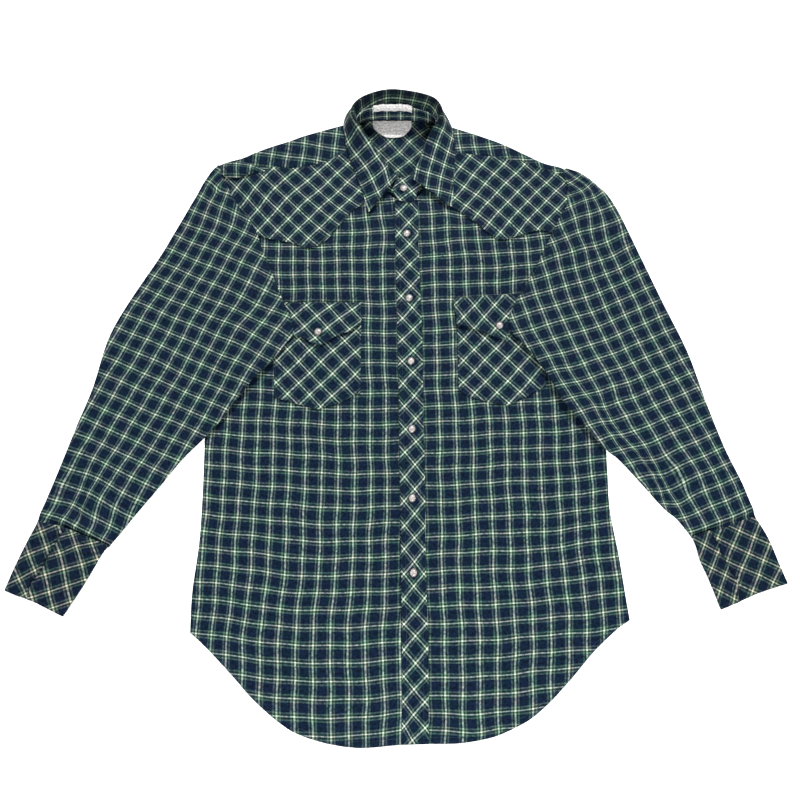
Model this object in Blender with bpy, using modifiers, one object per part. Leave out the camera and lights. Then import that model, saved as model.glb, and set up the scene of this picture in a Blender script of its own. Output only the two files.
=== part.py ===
"""Western snap shirt, snapped shut and laid flat on its back, collar towards +Y.

Blender 4.5, metres, +Z up. Every size below is in millimetres and is turned into
metres where a mesh is made. The wearer's left side is at +X, because the front
faces up. Each piece of cloth is an open surface, made from its seam lines, that
Solidify turns into a wall. The origin is under the middle of the shirt.
"""
import math

import bmesh
import bpy

# ---------------------------------------------------------------- driving sizes
MM = 0.001
WALL = 1.0              # cloth and its seam allowance
GAP = 0.4               # air between two pieces that lie on each other
LAYER = WALL + GAP      # one more piece of cloth on top
FRONT_REST = WALL + LAYER   # top of a front panel where it lies flat on the back
FRONT_FILL = 1.5        # air that stays between front and back, inside the side seams
SIDE_FADE = 40.0        # how far from the side seam that air starts
LAP_CLEAR = 4.0         # the upper front stays up this far past the lower one's edge
LAP_RAMP = 80.0         # and comes down over this width
PLACKET_WIDTH = 33.0
FOLD_WIDTH = 4.5         # width of the collar's fold
SNAP_RADIUS = 5.8
PEARL_RADIUS = 5.0
SNAP_HEIGHT = 2.6
SLEEVE_FOLD = 2.8       # height of a sleeve at its folded edges
SLEEVE_CROWN = 3.0      # how much higher it stands along its middle
BODY_RAMP = (16.0, 62.0)  # beside the body the sleeve comes down to the surface
MOUTH_INSET = 28.0      # the under layer starts this far from the armhole seam
POCKET_LAYERS = 2.3     # the pocket, its flap and a little air under the sleeve
MOUTH_LIFT = 1.8        # the armhole edge rises this much towards its two folds
CUFF_UNDERLAP = 20.0
CUFF_UNDER = 3.1        # top of a cuff's under end, and of its upper end below
CUFF_OVER = 4.6
CUFF_TURN = 1.8         # how far in from its edge a cuff's fold begins

# Low swells of the fronts: centre x, y, half width, half length, height
SWELLS = [
    (-120.0, 130.0, 110.0, 150.0, 1.0),
    (120.0, 150.0, 110.0, 140.0, 1.0),
    (-120.0, -130.0, 120.0, 170.0, 1.4),
    (150.0, -150.0, 110.0, 190.0, 1.6),
    (-30.0, -290.0, 110.0, 120.0, 0.9),
    (200.0, -250.0, 60.0, 110.0, 1.2),
]

# ---------------------------------------------------------------- seam lines (x, y)
RIGHT_SIDE = [(-247, 314), (-250, 300), (-240, 272), (-232, 240), (-230, 190),
              (-233, 140), (-242, 80), (-245, 20), (-241, -83), (-239, -144),
              (-239, -202), (-243, -258), (-242, -304)]
LEFT_SIDE = [(236, 306), (243, 296), (243, 262), (234, 225), (230, 190),
             (232, 140), (248, 90), (262, 40), (262, -98), (261, -158),
             (267.5, -216), (272.5, -270), (274.5, -290)]
RIGHT_HEM = [(-242, -304), (-216, -326), (-189, -352), (-163, -378), (-131, -403),
             (-108, -415), (-75, -424), (-39, -428), (2, -425), (31, -424)]
LEFT_HEM = [(6, -424), (37, -423.5), (68, -423.2), (94, -420), (115, -415), (134, -407),
            (153.5, -397), (177, -378.5), (204, -352), (229, -325.5), (256.5, -302),
            (274.5, -290)]
CENTRE_EDGE = [(-4, 264), (-2, 174), (4, -22), (4, -221), (6, -336), (6, -424)]
UNDERLAP_EDGE = [(26, 268), (27, 174), (31, -22), (31, -221), (33, -336), (31, -424)]
# Shoulder folds, from the neck out, and the seams where the back yoke ends in front
RIGHT_SHOULDER = [(-76, 387), (-89, 383), (-132, 369), (-152, 360.5), (-177, 351.5),
                  (-199, 342), (-217, 333), (-239, 326)]
LEFT_SHOULDER = [(72, 385), (90, 379), (117, 369), (149, 355.5), (181, 338),
                 (206, 324.5), (228, 318)]
RIGHT_YOKE_SEAM = [(-67, 350), (-82, 337), (-105, 325), (-144, 316), (-168, 318),
                   (-186, 314), (-206, 317), (-239, 313)]
LEFT_YOKE_SEAM = [(70, 345), (81, 342), (114, 337), (137, 334), (157, 330),
                  (177, 326), (201, 315), (228, 306)]
RIGHT_NECK = [(-67, 350), (-63, 343), (-50, 327), (-35, 306), (-18, 284), (-4, 270)]
LEFT_NECK = [(70, 345), (60, 322), (48, 300), (36, 281), (24, 267), (-4, 264)]
RIGHT_ARMHOLE = [(-244, 303), (-234, 284), (-219, 257), (-205, 239), (-190, 213),
                 (-182, 189), (-170, 162), (-157, 129), (-143, 97), (-133, 68)]
LEFT_ARMHOLE = [(230, 309), (236, 292), (235, 275), (234, 258), (221, 236),
                (211, 214), (200, 192), (185, 161), (167, 127), (155, 109), (146, 87)]
RIGHT_YOKE_POINT = [(-195, 215), (-177, 207), (-149, 201), (-129, 195), (-118, 192),
                    (-99, 201), (-78, 227), (-62, 248), (-44, 262), (-22, 288)]
LEFT_YOKE_POINT = [(215, 214), (193, 219), (171, 212), (152, 206), (140, 204),
                   (128, 211), (110, 228), (88, 246), (62, 262), (38, 284)]
BACK_NECK = [(-76, 387), (-62, 388), (-45, 391), (-17, 393), (10, 392), (38, 389),
             (60, 385), (72, 385)]
BACK_YOKE_SEAM = [(-236, 266), (0, 240), (236, 266)]

POCKETS = {   # top, then the side seams' feet and the bottom with its point
    "right": dict(top=[(-163, 110), (-47, 110)], left=[(-163, 110), (-156, -18)],
                  right=[(-47, 110), (-47, -11)],
                  bottom=[(-156, -18), (-126, -27), (-102, -34), (-73, -26), (-47, -11)]),
    "left": dict(top=[(79, 115), (193, 118)], left=[(79, 115), (79, -10)],
                 right=[(193, 118), (191, -2)],
                 bottom=[(79, -10), (96, -18), (116, -24), (141, -29), (164, -18), (191, -2)]),
}
FLAPS = {
    "right": dict(top=[(-165, 112), (-46, 112)], left=[(-165, 112), (-163, 83)],
                  right=[(-46, 112), (-48, 83)],
                  bottom=[(-163, 83), (-133, 66), (-117, 56), (-101, 51), (-75, 65), (-48, 83)]),
    "left": dict(top=[(75, 117), (190, 121)], left=[(75, 117), (78, 81)],
                 right=[(190, 121), (189, 84)],
                 bottom=[(78, 81), (99, 75), (120, 65), (138, 57), (166, 73), (189, 84)]),
}
# Sleeves: the fold on the outer side, the fold that lies on the body, the cuff seam
SLEEVES = {
    "right": dict(
        outer=[(-249, 320), (-257.5, 311), (-268.5, 291), (-277, 272.5), (-286.5, 254), (-303, 218),
               (-320, 181), (-356.8, 111.5), (-377.5, 61.7), (-390.2, -4.6), (-404, -52), (-421, -114),
               (-438, -174)],
        inner=[(-133, 68), (-160, 29), (-177, 12), (-191, -7), (-202, -23), (-218, -45),
               (-240, -71), (-266, -99), (-289, -129), (-312, -159), (-334, -188), (-347, -203)],
        cuff_seam=[(-438, -174), (-408, -180), (-376, -192), (-347, -203)],
        armhole=RIGHT_ARMHOLE),
    "left": dict(
        outer=[(237, 314.5), (254, 308), (263.5, 301), (271, 295), (280, 286), (288, 278.5),
               (295.2, 268.5), (307.2, 242.5), (328.8, 181.3), (353.4, 111.7), (378, 44.4), (394, -21),
               (411, -83), (428, -129), (438, -168)],
        inner=[(146, 87), (150, 68), (171, 44), (187, 22), (200, 3), (214, -22), (233, -42),
               (262, -89), (275, -99), (301, -129), (326, -159), (342, -173), (357, -192)],
        cuff_seam=[(438, -168), (420, -173), (380, -185), (357, -192)],
        armhole=LEFT_ARMHOLE),
}
CUFFS = {
    "right": dict(seam=[(-438, -175), (-408, -181), (-376, -193), (-348, -204)],
                  end=[(-467, -256), (-452, -262), (-430, -269), (-393, -286)],
                  outer=[(-438, -175), (-449, -202), (-459, -230), (-467, -256)],
                  inner=[(-348, -204), (-355, -214), (-368, -241), (-377, -258), (-393, -286)],
                  lap=0.45),
    "left": dict(seam=[(438, -169), (420, -174), (398, -183), (380, -186), (358, -193)],
                 end=[(467, -248), (431, -259), (406, -269), (383, -278)],
                 outer=[(438, -169), (447, -186), (453, -201), (461, -229), (467, -248)],
                 inner=[(358, -193), (362, -207), (365, -223), (372, -242), (383, -278)],
                 lap=0.73),
}

# Collar band, from its under end round the back to the tab: seam (x, y, z), top (x, y, z)
BAND_STATIONS = [
    ((25, 271, 5.4), (27, 292, 6.4)),
    ((2, 273, 5.4), (4, 296, 6.6)),
    ((-21, 287, 7.0), (-14, 309, 10.5)),
    ((-38, 309, 7.0), (-28, 325, 15)),
    ((-53, 334, 7.0), (-40, 345, 19)),
    ((-66, 360, 7.0), (-53, 365, 24)),
    ((-66, 380, 7.0), (-57, 381, 27)),
    ((-46, 391.5, 3.8), (-43, 392.5, 29)),
    ((-17, 394, 3.0), (-17, 395.5, 30)),
    ((10, 393.5, 3.0), (10, 395, 30)),
    ((40, 389.5, 3.8), (38, 390.5, 29)),
    ((66, 376, 7.0), (55, 378, 27)),
    ((69, 355, 7.0), (51, 361, 24)),
    ((62, 331, 7.0), (43, 341, 19)),
    ((50, 306, 7.2), (35, 320, 14)),
    ((38, 284, 8.0), (26, 303, 10.5)),
    ((17, 261, 8.6), (13, 296, 9.6)),
    ((3, 263, 8.6), (2, 291, 9.4)),
    ((-3, 270, 8.6), (-4, 282, 9.2)),
]
# Collar leaf, from point to point: root, top of the fold, outer edge (x, y, z)
LEAF_STATIONS = [
    ((1, 297, 8.0), (2, 299, 11.4), (-38, 248, 7.2)),
    ((-13, 309, 11.6), (-11, 311, 15.2), (-47, 274, 7.2)),
    ((-26, 326, 16.0), (-23, 326, 19.8), (-58, 306, 7.2)),
    ((-38, 345, 20.0), (-35, 344, 23.8), (-66, 327, 7.2)),
    ((-51, 365, 25.0), (-49, 364, 29.0), (-73, 355, 7.2)),
    ((-56, 382, 28.6), (-60, 385, 33.5), (-76, 389, 8.0)),
    ((-42, 393.5, 30.8), (-50, 402, 38.5), (-62, 418, 2.4)),
    ((-17, 396.5, 31.7), (-19, 414, 40.0), (-22, 427, 2.4)),
    ((10, 396, 31.7), (12, 413, 40.0), (14, 427, 2.4)),
    ((37, 391.5, 30.8), (49, 403, 38.5), (58, 417, 2.4)),
    ((54, 379, 28.6), (59, 382, 33.5), (76, 385, 8.0)),
    ((49, 361, 25.0), (47, 360, 29.0), (81, 355, 7.2)),
    ((41, 341, 20.0), (38, 340, 23.8), (81, 328, 7.2)),
    ((33, 321, 15.0), (31, 321, 18.8), (79, 300, 7.2)),
    ((25, 303, 11.6), (24, 306, 15.2), (75, 255, 7.2)),
]
FRONT_SNAPS = [(13, 213), (16, 118), (18, 30), (19, -60), (19, -147), (20, -236)]
FLAP_SNAPS = {"right": (-103, 70), "left": (134, 79)}
COLLAR_SNAP = (9, 281, 9.2)

COLOURS = {"plaid_cloth": (0.012, 0.022, 0.05), "label_cloth": (0.72, 0.72, 0.68),
           "pearl": (0.82, 0.85, 0.84)}


# ---------------------------------------------------------------- curves and grids
def catmull(p0, p1, p2, p3, t):
    """Point at t on the smooth curve from p1 to p2."""
    return tuple(0.5 * (2 * b + (c - a) * t + (2 * a - 5 * b + 4 * c - d) * t * t
                        + (3 * b - a - 3 * c + d) * t ** 3)
                 for a, b, c, d in zip(p0, p1, p2, p3))


def smooth_line(points, steps=6):
    """The points with a smooth curve drawn through them."""
    ends = [points[0]] + list(points) + [points[-1]]
    line = [catmull(*ends[i:i + 4], k / steps)
            for i in range(len(points) - 1) for k in range(steps)]
    return line + [tuple(points[-1])]


def along(points, smooth=True):
    """A function that gives the point at a share of the line's length."""
    line = smooth_line(points) if smooth and len(points) > 2 else list(points)
    marks = [0.0]
    for a, b in zip(line, line[1:]):
        marks.append(marks[-1] + math.dist(a, b))

    def at(share):
        want = min(max(share, 0.0), 1.0) * marks[-1]
        i = 1
        while i < len(marks) - 1 and marks[i] < want:
            i += 1
        t = (want - marks[i - 1]) / (marks[i] - marks[i - 1])
        return tuple(a + (b - a) * t for a, b in zip(line[i - 1], line[i]))
    return at


def even(count):
    """Shares from 0 to 1 in equal steps."""
    return [i / count for i in range(count + 1)]


def patch(top, bottom, left, right, columns, rows, smooth=True):
    """Rows of plan points that fill the space between four seam lines."""
    sides = [along(line, smooth) for line in (top, bottom, left, right)]
    corners = [sides[0](0), sides[0](1), sides[1](0), sides[1](1)]
    grid = []
    for v in rows:
        row = []
        for u in columns:
            row.append(tuple(
                (1 - v) * t + v * b + (1 - u) * l + u * r
                - (1 - u) * (1 - v) * c0 - u * (1 - v) * c1 - (1 - u) * v * c2 - u * v * c3
                for t, b, l, r, c0, c1, c2, c3 in zip(
                    sides[0](u), sides[1](u), sides[2](v), sides[3](v), *corners)))
        grid.append(row)
    return grid


def lift(grid, height):
    """The plan points with their height."""
    return [[(x, y, height(x, y)) for x, y in row] for row in grid]


def ease(value):
    """0 below 0, 1 above 1 and smooth between."""
    value = min(max(value, 0.0), 1.0)
    return value * value * (3 - 2 * value)


# ---------------------------------------------------------------- heights of the layers
def edge_x(side, y):
    """x of a side seam at a given y."""
    points = sorted(side, key=lambda point: point[1])
    if y <= points[0][1]:
        return points[0][0]
    for (x0, y0), (x1, y1) in zip(points, points[1:]):
        if y <= y1:
            return x0 + (x1 - x0) * (y - y0) / (y1 - y0)
    return points[-1][0]


def depth(x, y):
    """How far a place lies inside the side seams; below 0 it is beside the body."""
    return min(x - edge_x(RIGHT_SIDE, y), edge_x(LEFT_SIDE, y) - x)


def under_front_top(x, y):
    """Top of the wearer's right front, and of the left front away from the lap."""
    rise = FRONT_FILL
    for cx, cy, half_x, half_y, height in SWELLS:
        reach = math.hypot((x - cx) / half_x, (y - cy) / half_y)
        rise += height * ease(1 - reach)
    return FRONT_REST + rise * ease(depth(x, y) / SIDE_FADE)


def upper_front_top(x, y):
    """Top of the wearer's left front, which lies on the right one at the placket."""
    beyond = x - edge_x(UNDERLAP_EDGE, y) - LAP_CLEAR
    return under_front_top(x, y) + LAYER * (1 - ease(beyond / LAP_RAMP))


def on_front(side, layers):
    """Height of a piece that lies so many layers above the front of that side."""
    base = upper_front_top if side == "left" else under_front_top
    return lambda x, y: base(x, y) + layers * LAYER


def layers_on_front(x, y):
    """Pieces of cloth that a sleeve meets on the front: the yoke, or pocket and flap."""
    yoke = ease((y - 160) / 30)
    pocket = POCKET_LAYERS * ease(depth(x, y) / 50) * ease((170 - y) / 35)
    return yoke + pocket


def sleeve_floor(x, y):
    """Underside of a sleeve: on the surface, or on the front where it crosses it."""
    near, far = BODY_RAMP
    on_body = 1 - ease((-depth(x, y) - near) / (far - near))
    return on_body * (under_front_top(x, y) + GAP + LAYER * layers_on_front(x, y))


# ---------------------------------------------------------------- objects
def material(name, roughness, metallic=0.0):
    made = bpy.data.materials.get(name) or bpy.data.materials.new(name)
    made.use_nodes = True
    shader = made.node_tree.nodes["Principled BSDF"]
    shader.inputs["Base Color"].default_value = (*COLOURS[name], 1.0)
    shader.inputs["Roughness"].default_value = roughness
    shader.inputs["Metallic"].default_value = metallic
    return made


def add_object(name, bm, surface):
    """A named object in the shirt's collection, with its material."""
    mesh = bpy.data.meshes.new(name)
    bm.to_mesh(mesh)
    bm.free()
    made = bpy.data.objects.new(name, mesh)
    made.data.materials.append(surface)
    SHIRT.objects.link(made)
    return made


def solidify(made, wall=WALL):
    """The wall grows from the surface away from its face side."""
    thick = made.modifiers.new("Wall", "SOLIDIFY")
    thick.thickness = wall * MM
    thick.offset = -1.0
    return made


def sheet(name, grid, surface, wall=WALL, closed=False):
    """Cloth over rows of (x, y, z); its face side is the one that looks up."""
    bm = bmesh.new()
    rows = [[bm.verts.new((x * MM, y * MM, z * MM)) for x, y, z in row] for row in grid]
    for above, below in zip(rows, rows[1:]):
        count = len(above)
        for i in range(count if closed else count - 1):
            j = (i + 1) % count
            bm.faces.new((above[i], below[i], below[j], above[j]))
    return solidify(add_object(name, bm, surface), wall)


# ---------------------------------------------------------------- body
def inset_hem(points, amount):
    """The back's hem lies a little inside the front's."""
    return [(x, y + amount) for x, y in points]


def make_back():
    """The back, flat on the surface, from the yoke seam to the hem."""
    yoke_y = BACK_YOKE_SEAM[0][1]
    right = [point for point in RIGHT_SIDE if point[1] < yoke_y - 5]
    left = [point for point in LEFT_SIDE if point[1] < yoke_y - 5]
    top = [(x, y - GAP) for x, y in BACK_YOKE_SEAM]
    hem = RIGHT_HEM[:-1] + LEFT_HEM[1:]
    hem = inset_hem(hem, 3.0)
    hem[0], hem[-1] = RIGHT_HEM[0], LEFT_HEM[-1]
    grid = patch(top, hem, [top[0]] + right, [top[-1]] + left, even(12), even(12))
    grid[0] = [along(top, False)(share) for share in even(12)]
    return sheet("back", lift(grid, lambda x, y: WALL), CLOTH)


def shoulder_column(share, fold, seam, top_height):
    """Places from the shoulder fold over the top to the front seam."""
    fx, fy = fold(share)
    sx, sy = seam(share)
    run = math.dist((fx, fy), (sx, sy))
    dx, dy = (sx - fx) / run, (sy - fy) / run
    column = [(fx + dx * inset, fy + dy * inset, z)
              for inset, z in ((0.4, 0.9), (0.0, 2.4), (0.7, 3.9), (2.6, 4.7))]
    for part in (0.35, 0.7, 1.0):
        reach = max(part * run, 2.6 + part * 3.0)
        x, y = fx + dx * reach, fy + dy * reach
        column.append((x, y, max(top_height(x, y), 4.9)))
    return column


def make_back_yoke():
    """The back yoke: flat under the neck, rolled over each shoulder to the front."""
    shoulder_shares, neck_shares = even(9), even(6)
    folds = [along(RIGHT_SHOULDER), along(LEFT_SHOULDER)]
    seams = [along(RIGHT_YOKE_SEAM), along(LEFT_YOKE_SEAM)]
    neck = along(BACK_NECK)
    top = [folds[0](1 - share) for share in shoulder_shares]
    top += [neck(share) for share in neck_shares[1:-1]]
    top += [folds[1](share) for share in shoulder_shares]
    bottom = along(BACK_YOKE_SEAM, False)
    lengths = [0.0]
    for a, b in zip(top, top[1:]):
        lengths.append(lengths[-1] + math.dist(a, b))
    floor_rows = []
    for part in (0.0, 0.4, 0.75):
        row = []
        for place, length in zip(top, lengths):
            low = bottom(length / lengths[-1])
            row.append(tuple(a + (b - a) * part for a, b in zip(low, place)))
        floor_rows.append(row)
    floor_rows.append([(x, y - 2.5) for x, y in top])
    bm = bmesh.new()
    rows = [[bm.verts.new((x * MM, y * MM, 0.0)) for x, y in row] for row in floor_rows]
    for low, high in zip(rows, rows[1:]):
        for i in range(len(top) - 1):
            bm.faces.new((low[i], high[i], high[i + 1], low[i + 1]))
    count = len(shoulder_shares)
    for side, first in ((0, 0), (1, len(top) - count)):
        height = on_front("left" if side else "right", 1)
        below = rows[-1][first:first + count]
        columns = []
        for i in range(count):
            share = 1 - shoulder_shares[i] if side == 0 else shoulder_shares[i]
            columns.append(shoulder_column(share, folds[side], seams[side], height))
        for level in range(len(columns[0])):
            above = [bm.verts.new(tuple(value * MM for value in column[level]))
                     for column in columns]
            for i in range(count - 1):
                bm.faces.new((below[i], above[i], above[i + 1], below[i + 1]))
            below = above
    return solidify(add_object("back_yoke", bm, CLOTH))


def make_yoke_lining():
    """The yoke's inner layer, as far as it shows inside the neck."""
    grid = patch(top=[(-44, 390.5), (-17, 392.5), (10, 392), (38, 388.5)],
                 bottom=[(-8, 280), (12, 276), (30, 280)],
                 left=[(-44, 390.5), (-56, 368), (-48, 335), (-26, 300), (-8, 280)],
                 right=[(38, 388.5), (58, 366), (56, 335), (42, 300), (30, 280)],
                 columns=even(6), rows=even(7))
    return sheet("yoke_lining", lift(grid, lambda x, y: WALL + LAYER), CLOTH)


def seam_allowance(seam, fold):
    """The front's shoulder edge, past the seam, under the back yoke's edge."""
    to_seam, to_fold = along(seam), along(fold)
    edge = []
    for share in even(8):
        (x0, y0), (x1, y1) = to_seam(share), to_fold(share)
        edge.append((x0 + (x1 - x0) * 0.2, y0 + (y1 - y0) * 0.2))
    return edge


def make_fronts():
    """Both fronts, from the shoulder seams to the hem; the left laps over the right."""
    rows = even(18)
    right_top = [RIGHT_SIDE[0]] + list(reversed(seam_allowance(RIGHT_YOKE_SEAM, RIGHT_SHOULDER)))
    grid = patch(right_top, RIGHT_HEM, [right_top[0]] + RIGHT_SIDE[1:],
                 [right_top[-1]] + RIGHT_NECK[1:] + UNDERLAP_EDGE, even(10), rows)
    sheet("front_right", lift(grid, under_front_top), CLOTH)
    left_top = seam_allowance(LEFT_YOKE_SEAM, LEFT_SHOULDER) + [LEFT_SIDE[0]]
    columns = [0.0, 0.06, 0.12, 0.16, 0.20, 0.28, 0.4, 0.52, 0.64, 0.76, 0.88, 1.0]
    grid = patch(left_top, LEFT_HEM, [left_top[0]] + LEFT_NECK[1:] + CENTRE_EDGE[1:],
                 [left_top[-1]] + LEFT_SIDE[1:], columns, rows)
    sheet("front_left", lift(grid, upper_front_top), CLOTH)


def make_front_yokes():
    """Pointed front yokes on top of the fronts."""
    outward = [(x - 3, y - 1) for x, y in RIGHT_ARMHOLE[:5]]
    top = [(x, y - GAP) for x, y in reversed(RIGHT_YOKE_SEAM)]
    grid = patch(top, RIGHT_YOKE_POINT, [top[0]] + outward[:-1] + [RIGHT_YOKE_POINT[0]],
                 [top[-1]] + RIGHT_NECK[1:4] + [RIGHT_YOKE_POINT[-1]], even(9), even(6))
    sheet("front_yoke_right", lift(grid, on_front("right", 1)), CLOTH)
    outward = [(x + 3, y - 1) for x, y in LEFT_ARMHOLE[:5]]
    top = [(x, y - GAP) for x, y in LEFT_YOKE_SEAM]
    point = list(reversed(LEFT_YOKE_POINT))
    grid = patch(top, point, [top[0]] + LEFT_NECK[1:3] + [point[0]],
                 [top[-1]] + outward[:-1] + [point[-1]], even(9), even(6))
    sheet("front_yoke_left", lift(grid, on_front("left", 1)), CLOTH)


def make_placket():
    """The bias strip down the upper front's edge."""
    left = [(x - 0.6, y) for x, y in CENTRE_EDGE]
    right = [(x + PLACKET_WIDTH, y) for x, y in CENTRE_EDGE]
    grid = patch([left[0], right[0]], [left[-1], right[-1]], left, right, even(3), even(18))
    return sheet("placket", lift(grid, on_front("left", 1)), CLOTH)


def make_pockets():
    """Chest pockets and their pointed flaps."""
    for side in ("right", "left"):
        lines = POCKETS[side]
        grid = patch(columns=even(6), rows=even(6), smooth=False, **lines)
        sheet("pocket_" + side, lift(grid, on_front(side, 1)), CLOTH)
        grid = patch(columns=even(6), rows=even(3), smooth=False, **FLAPS[side])
        sheet("pocket_flap_" + side, lift(grid, on_front(side, 2)), CLOTH)


# ---------------------------------------------------------------- sleeves and cuffs
def make_sleeve(side):
    """A flattened tube: rings that run over the top layer and back under it."""
    lines = SLEEVES[side]
    across, rows = even(9), even(16)
    mouth = along(lines["armhole"])
    outer, inner = lines["outer"], lines["inner"]
    aim = along([outer[0], inner[-1]], False)(0.45)
    under_mouth = []
    for share in even(10):
        x, y = mouth(share) if share else outer[0]
        step = MOUTH_INSET * max(math.sin(math.pi * share), 0.0) ** 0.8 / math.dist((x, y), aim)
        under_mouth.append((x + (aim[0] - x) * step, y + (aim[1] - y) * step))
    over_mouth = [outer[0]] + lines["armhole"]
    upper = patch(over_mouth, lines["cuff_seam"], outer, inner, across, rows)
    lower = patch(under_mouth, lines["cuff_seam"], outer, inner, across, rows)
    grid = []
    for i, v in enumerate(rows):
        width = math.dist(upper[i][0], upper[i][-1])
        nip = 1.4 / width
        over, under = [], []
        for j, u in enumerate(across):
            x, y = pull_in(upper[i], j, u, nip)
            base = sleeve_floor(x, y)
            crown = SLEEVE_CROWN * math.sin(math.pi * u) ** 0.7
            top = base + SLEEVE_FOLD + crown * ease(v * 6)
            on_seam = under_front_top(x, y) + LAYER * (1 + layers_on_front(x, y))
            seam_top = on_seam + GAP + MOUTH_LIFT * (1 - ease(u * 3) + ease(u * 3 - 2))
            blend = ease(v * 14) if 0 < u < 1 else 1.0
            over.append((x, y, seam_top + (top - seam_top) * blend))
            x, y = pull_in(lower[i], j, u, nip)
            under.append((x, y, sleeve_floor(x, y)))
        outer_mid = (*upper[i][0], (over[0][2] + under[0][2]) / 2)
        inner_mid = (*upper[i][-1], (over[-1][2] + under[-1][2]) / 2)
        ring = [outer_mid] + over + [inner_mid] + list(reversed(under))
        grid.append(ring if side == "right" else list(reversed(ring)))
    return sheet("sleeve_" + side, grid, CLOTH, closed=True)


def pull_in(row, j, u, nip):
    """The row's point j, moved in from a folded edge by the fold's radius."""
    if 0 < u < 1:
        return row[j]
    inner = row[1] if u == 0 else row[-2]
    reach = math.dist(row[j], inner)
    share = nip * math.dist(row[0], row[-1]) / reach
    return tuple(a + (b - a) * share for a, b in zip(row[j], inner))


def make_cuff(side):
    """A strip wrapped round the sleeve's end, one end lapping over the other."""
    lines = CUFFS[side]
    lap = lines["lap"]
    over, under = CUFF_OVER, CUFF_UNDER
    grid = []
    for v in even(5):
        plan = patch(lines["seam"], lines["end"], lines["outer"], lines["inner"], even(20), [v])[0]
        line = along(plan, False)
        width = math.dist(plan[0], plan[-1])
        turn = CUFF_TURN / width
        under_end = min(lap + CUFF_UNDERLAP / width, 0.95)
        stops = [(lap, over), (lap + (1 - lap) / 2, over + 0.2), (1 - turn, over - 0.3),
                 (1.0, over / 2), (1 - turn, 0.0), (0.66, 0.0), (0.33, 0.0), (turn, 0.0),
                 (0.0, under / 2), (turn, under - 0.2), (lap / 2, under), (lap, under),
                 (under_end, under)]
        grid.append([(*line(share), z) for share, z in stops])
    if side == "left":
        grid.reverse()
    return sheet("cuff_" + side, grid, CLOTH)


# ---------------------------------------------------------------- collar
def rows_between(stations, count, steps):
    """Smooth lines through the matching points of the stations, as rows."""
    lines = [along([station[k] for station in stations]) for k in range(count)]
    return [[line(share) for share in even(steps)] for line in lines]


def make_collar_stand():
    """The band: a loop that stands up at the back and lies flat at its tab."""
    seam, top = rows_between(BAND_STATIONS, 2, 48)
    grid = []
    for part in even(3):
        grid.append([tuple(a + (b - a) * part for a, b in zip(low, high))
                     for low, high in zip(seam, top)])
    return sheet("collar_stand", grid, CLOTH)


def make_collar_leaf():
    """The leaf: up from the band, over the fold, and down to its outer edge."""
    root, fold, edge = rows_between(LEAF_STATIONS, 3, 36)
    columns = []
    for a, b, c in zip(root, fold, edge):
        outward = FOLD_WIDTH / math.dist(b[:2], c[:2])
        shoulder = tuple(f + (e - f) * outward for f, e in zip(b[:2], c[:2])) + (b[2] - 0.8,)
        belly = tuple(f + (e - f) * 0.5 + d for f, e, d in zip(b, c, (0, 0, 0.12 * (b[2] - c[2]))))
        slope = along([shoulder, belly, c])
        columns.append([a, b] + [slope(share) for share in even(4)])
    grid = [[column[level] for column in columns] for level in range(len(columns[0]))]
    return sheet("collar_leaf", list(reversed(grid)), CLOTH)


def make_labels():
    """The neck label on the yoke lining and the small one on the band."""
    grid = patch(top=[(-35, 390), (20, 390)],
                 bottom=[(-29, 376), (-17, 367), (-4, 366), (8, 368), (16, 376)],
                 left=[(-35, 390), (-34, 382), (-29, 376)],
                 right=[(20, 390), (20, 382), (16, 376)], columns=even(6), rows=even(3))
    sheet("neck_label", lift(grid, lambda x, y: WALL + 2 * LAYER), LABEL)
    seam, top = rows_between(BAND_STATIONS[7:11], 2, 8)
    root, fold, _ = rows_between(LEAF_STATIONS[6:10], 3, 8)
    columns = []
    for low, high, start, end in zip(seam, top, root, fold):
        if -36 < high[0] < 22:
            on_band = [tuple(a + (b - a) * part for a, b in zip(low, high)) for part in (0.74, 1.06)]
            on_leaf = tuple(a + (b - a) * 0.28 for a, b in zip(start, end))
            columns.append([(x, y - LAYER - 0.4, z) for x, y, z in on_band]
                           + [(on_leaf[0], on_leaf[1] - 1.4, on_leaf[2] + 2.6)])
    grid = [[column[level] for column in columns] for level in range(3)]
    sheet("size_label", grid, LABEL)


# ---------------------------------------------------------------- snaps
def make_snap(name, x, y, seat):
    """A pearl cap in a plain rim, turned about its own axis."""
    profile = [(0.0, SNAP_HEIGHT), (PEARL_RADIUS * 0.45, SNAP_HEIGHT * 0.94),
               (PEARL_RADIUS * 0.8, SNAP_HEIGHT * 0.76), (PEARL_RADIUS, SNAP_HEIGHT * 0.5),
               (SNAP_RADIUS * 0.95, SNAP_HEIGHT * 0.5), (SNAP_RADIUS, SNAP_HEIGHT * 0.2),
               (SNAP_RADIUS * 0.95, 0.0), (0.0, 0.0)]
    bm = bmesh.new()
    points = [bm.verts.new((radius * MM, 0.0, z * MM)) for radius, z in profile]
    for a, b in zip(points, points[1:]):
        bm.edges.new((a, b))
    made = add_object(name, bm, PEARL)
    turn = made.modifiers.new("Turn", "SCREW")
    turn.steps = turn.render_steps = 18
    turn.use_merge_vertices = True
    turn.merge_threshold = 0.00001
    made.location = (x * MM, y * MM, seat * MM)
    return made


def seat_on(height, x, y):
    """Lowest seat that clears a sloping surface all round a snap."""
    ring = [(x + SNAP_RADIUS * math.cos(a), y + SNAP_RADIUS * math.sin(a))
            for a in (k * math.pi / 4 for k in range(8))]
    return max(height(px, py) for px, py in ring + [(x, y)]) + GAP


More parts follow.
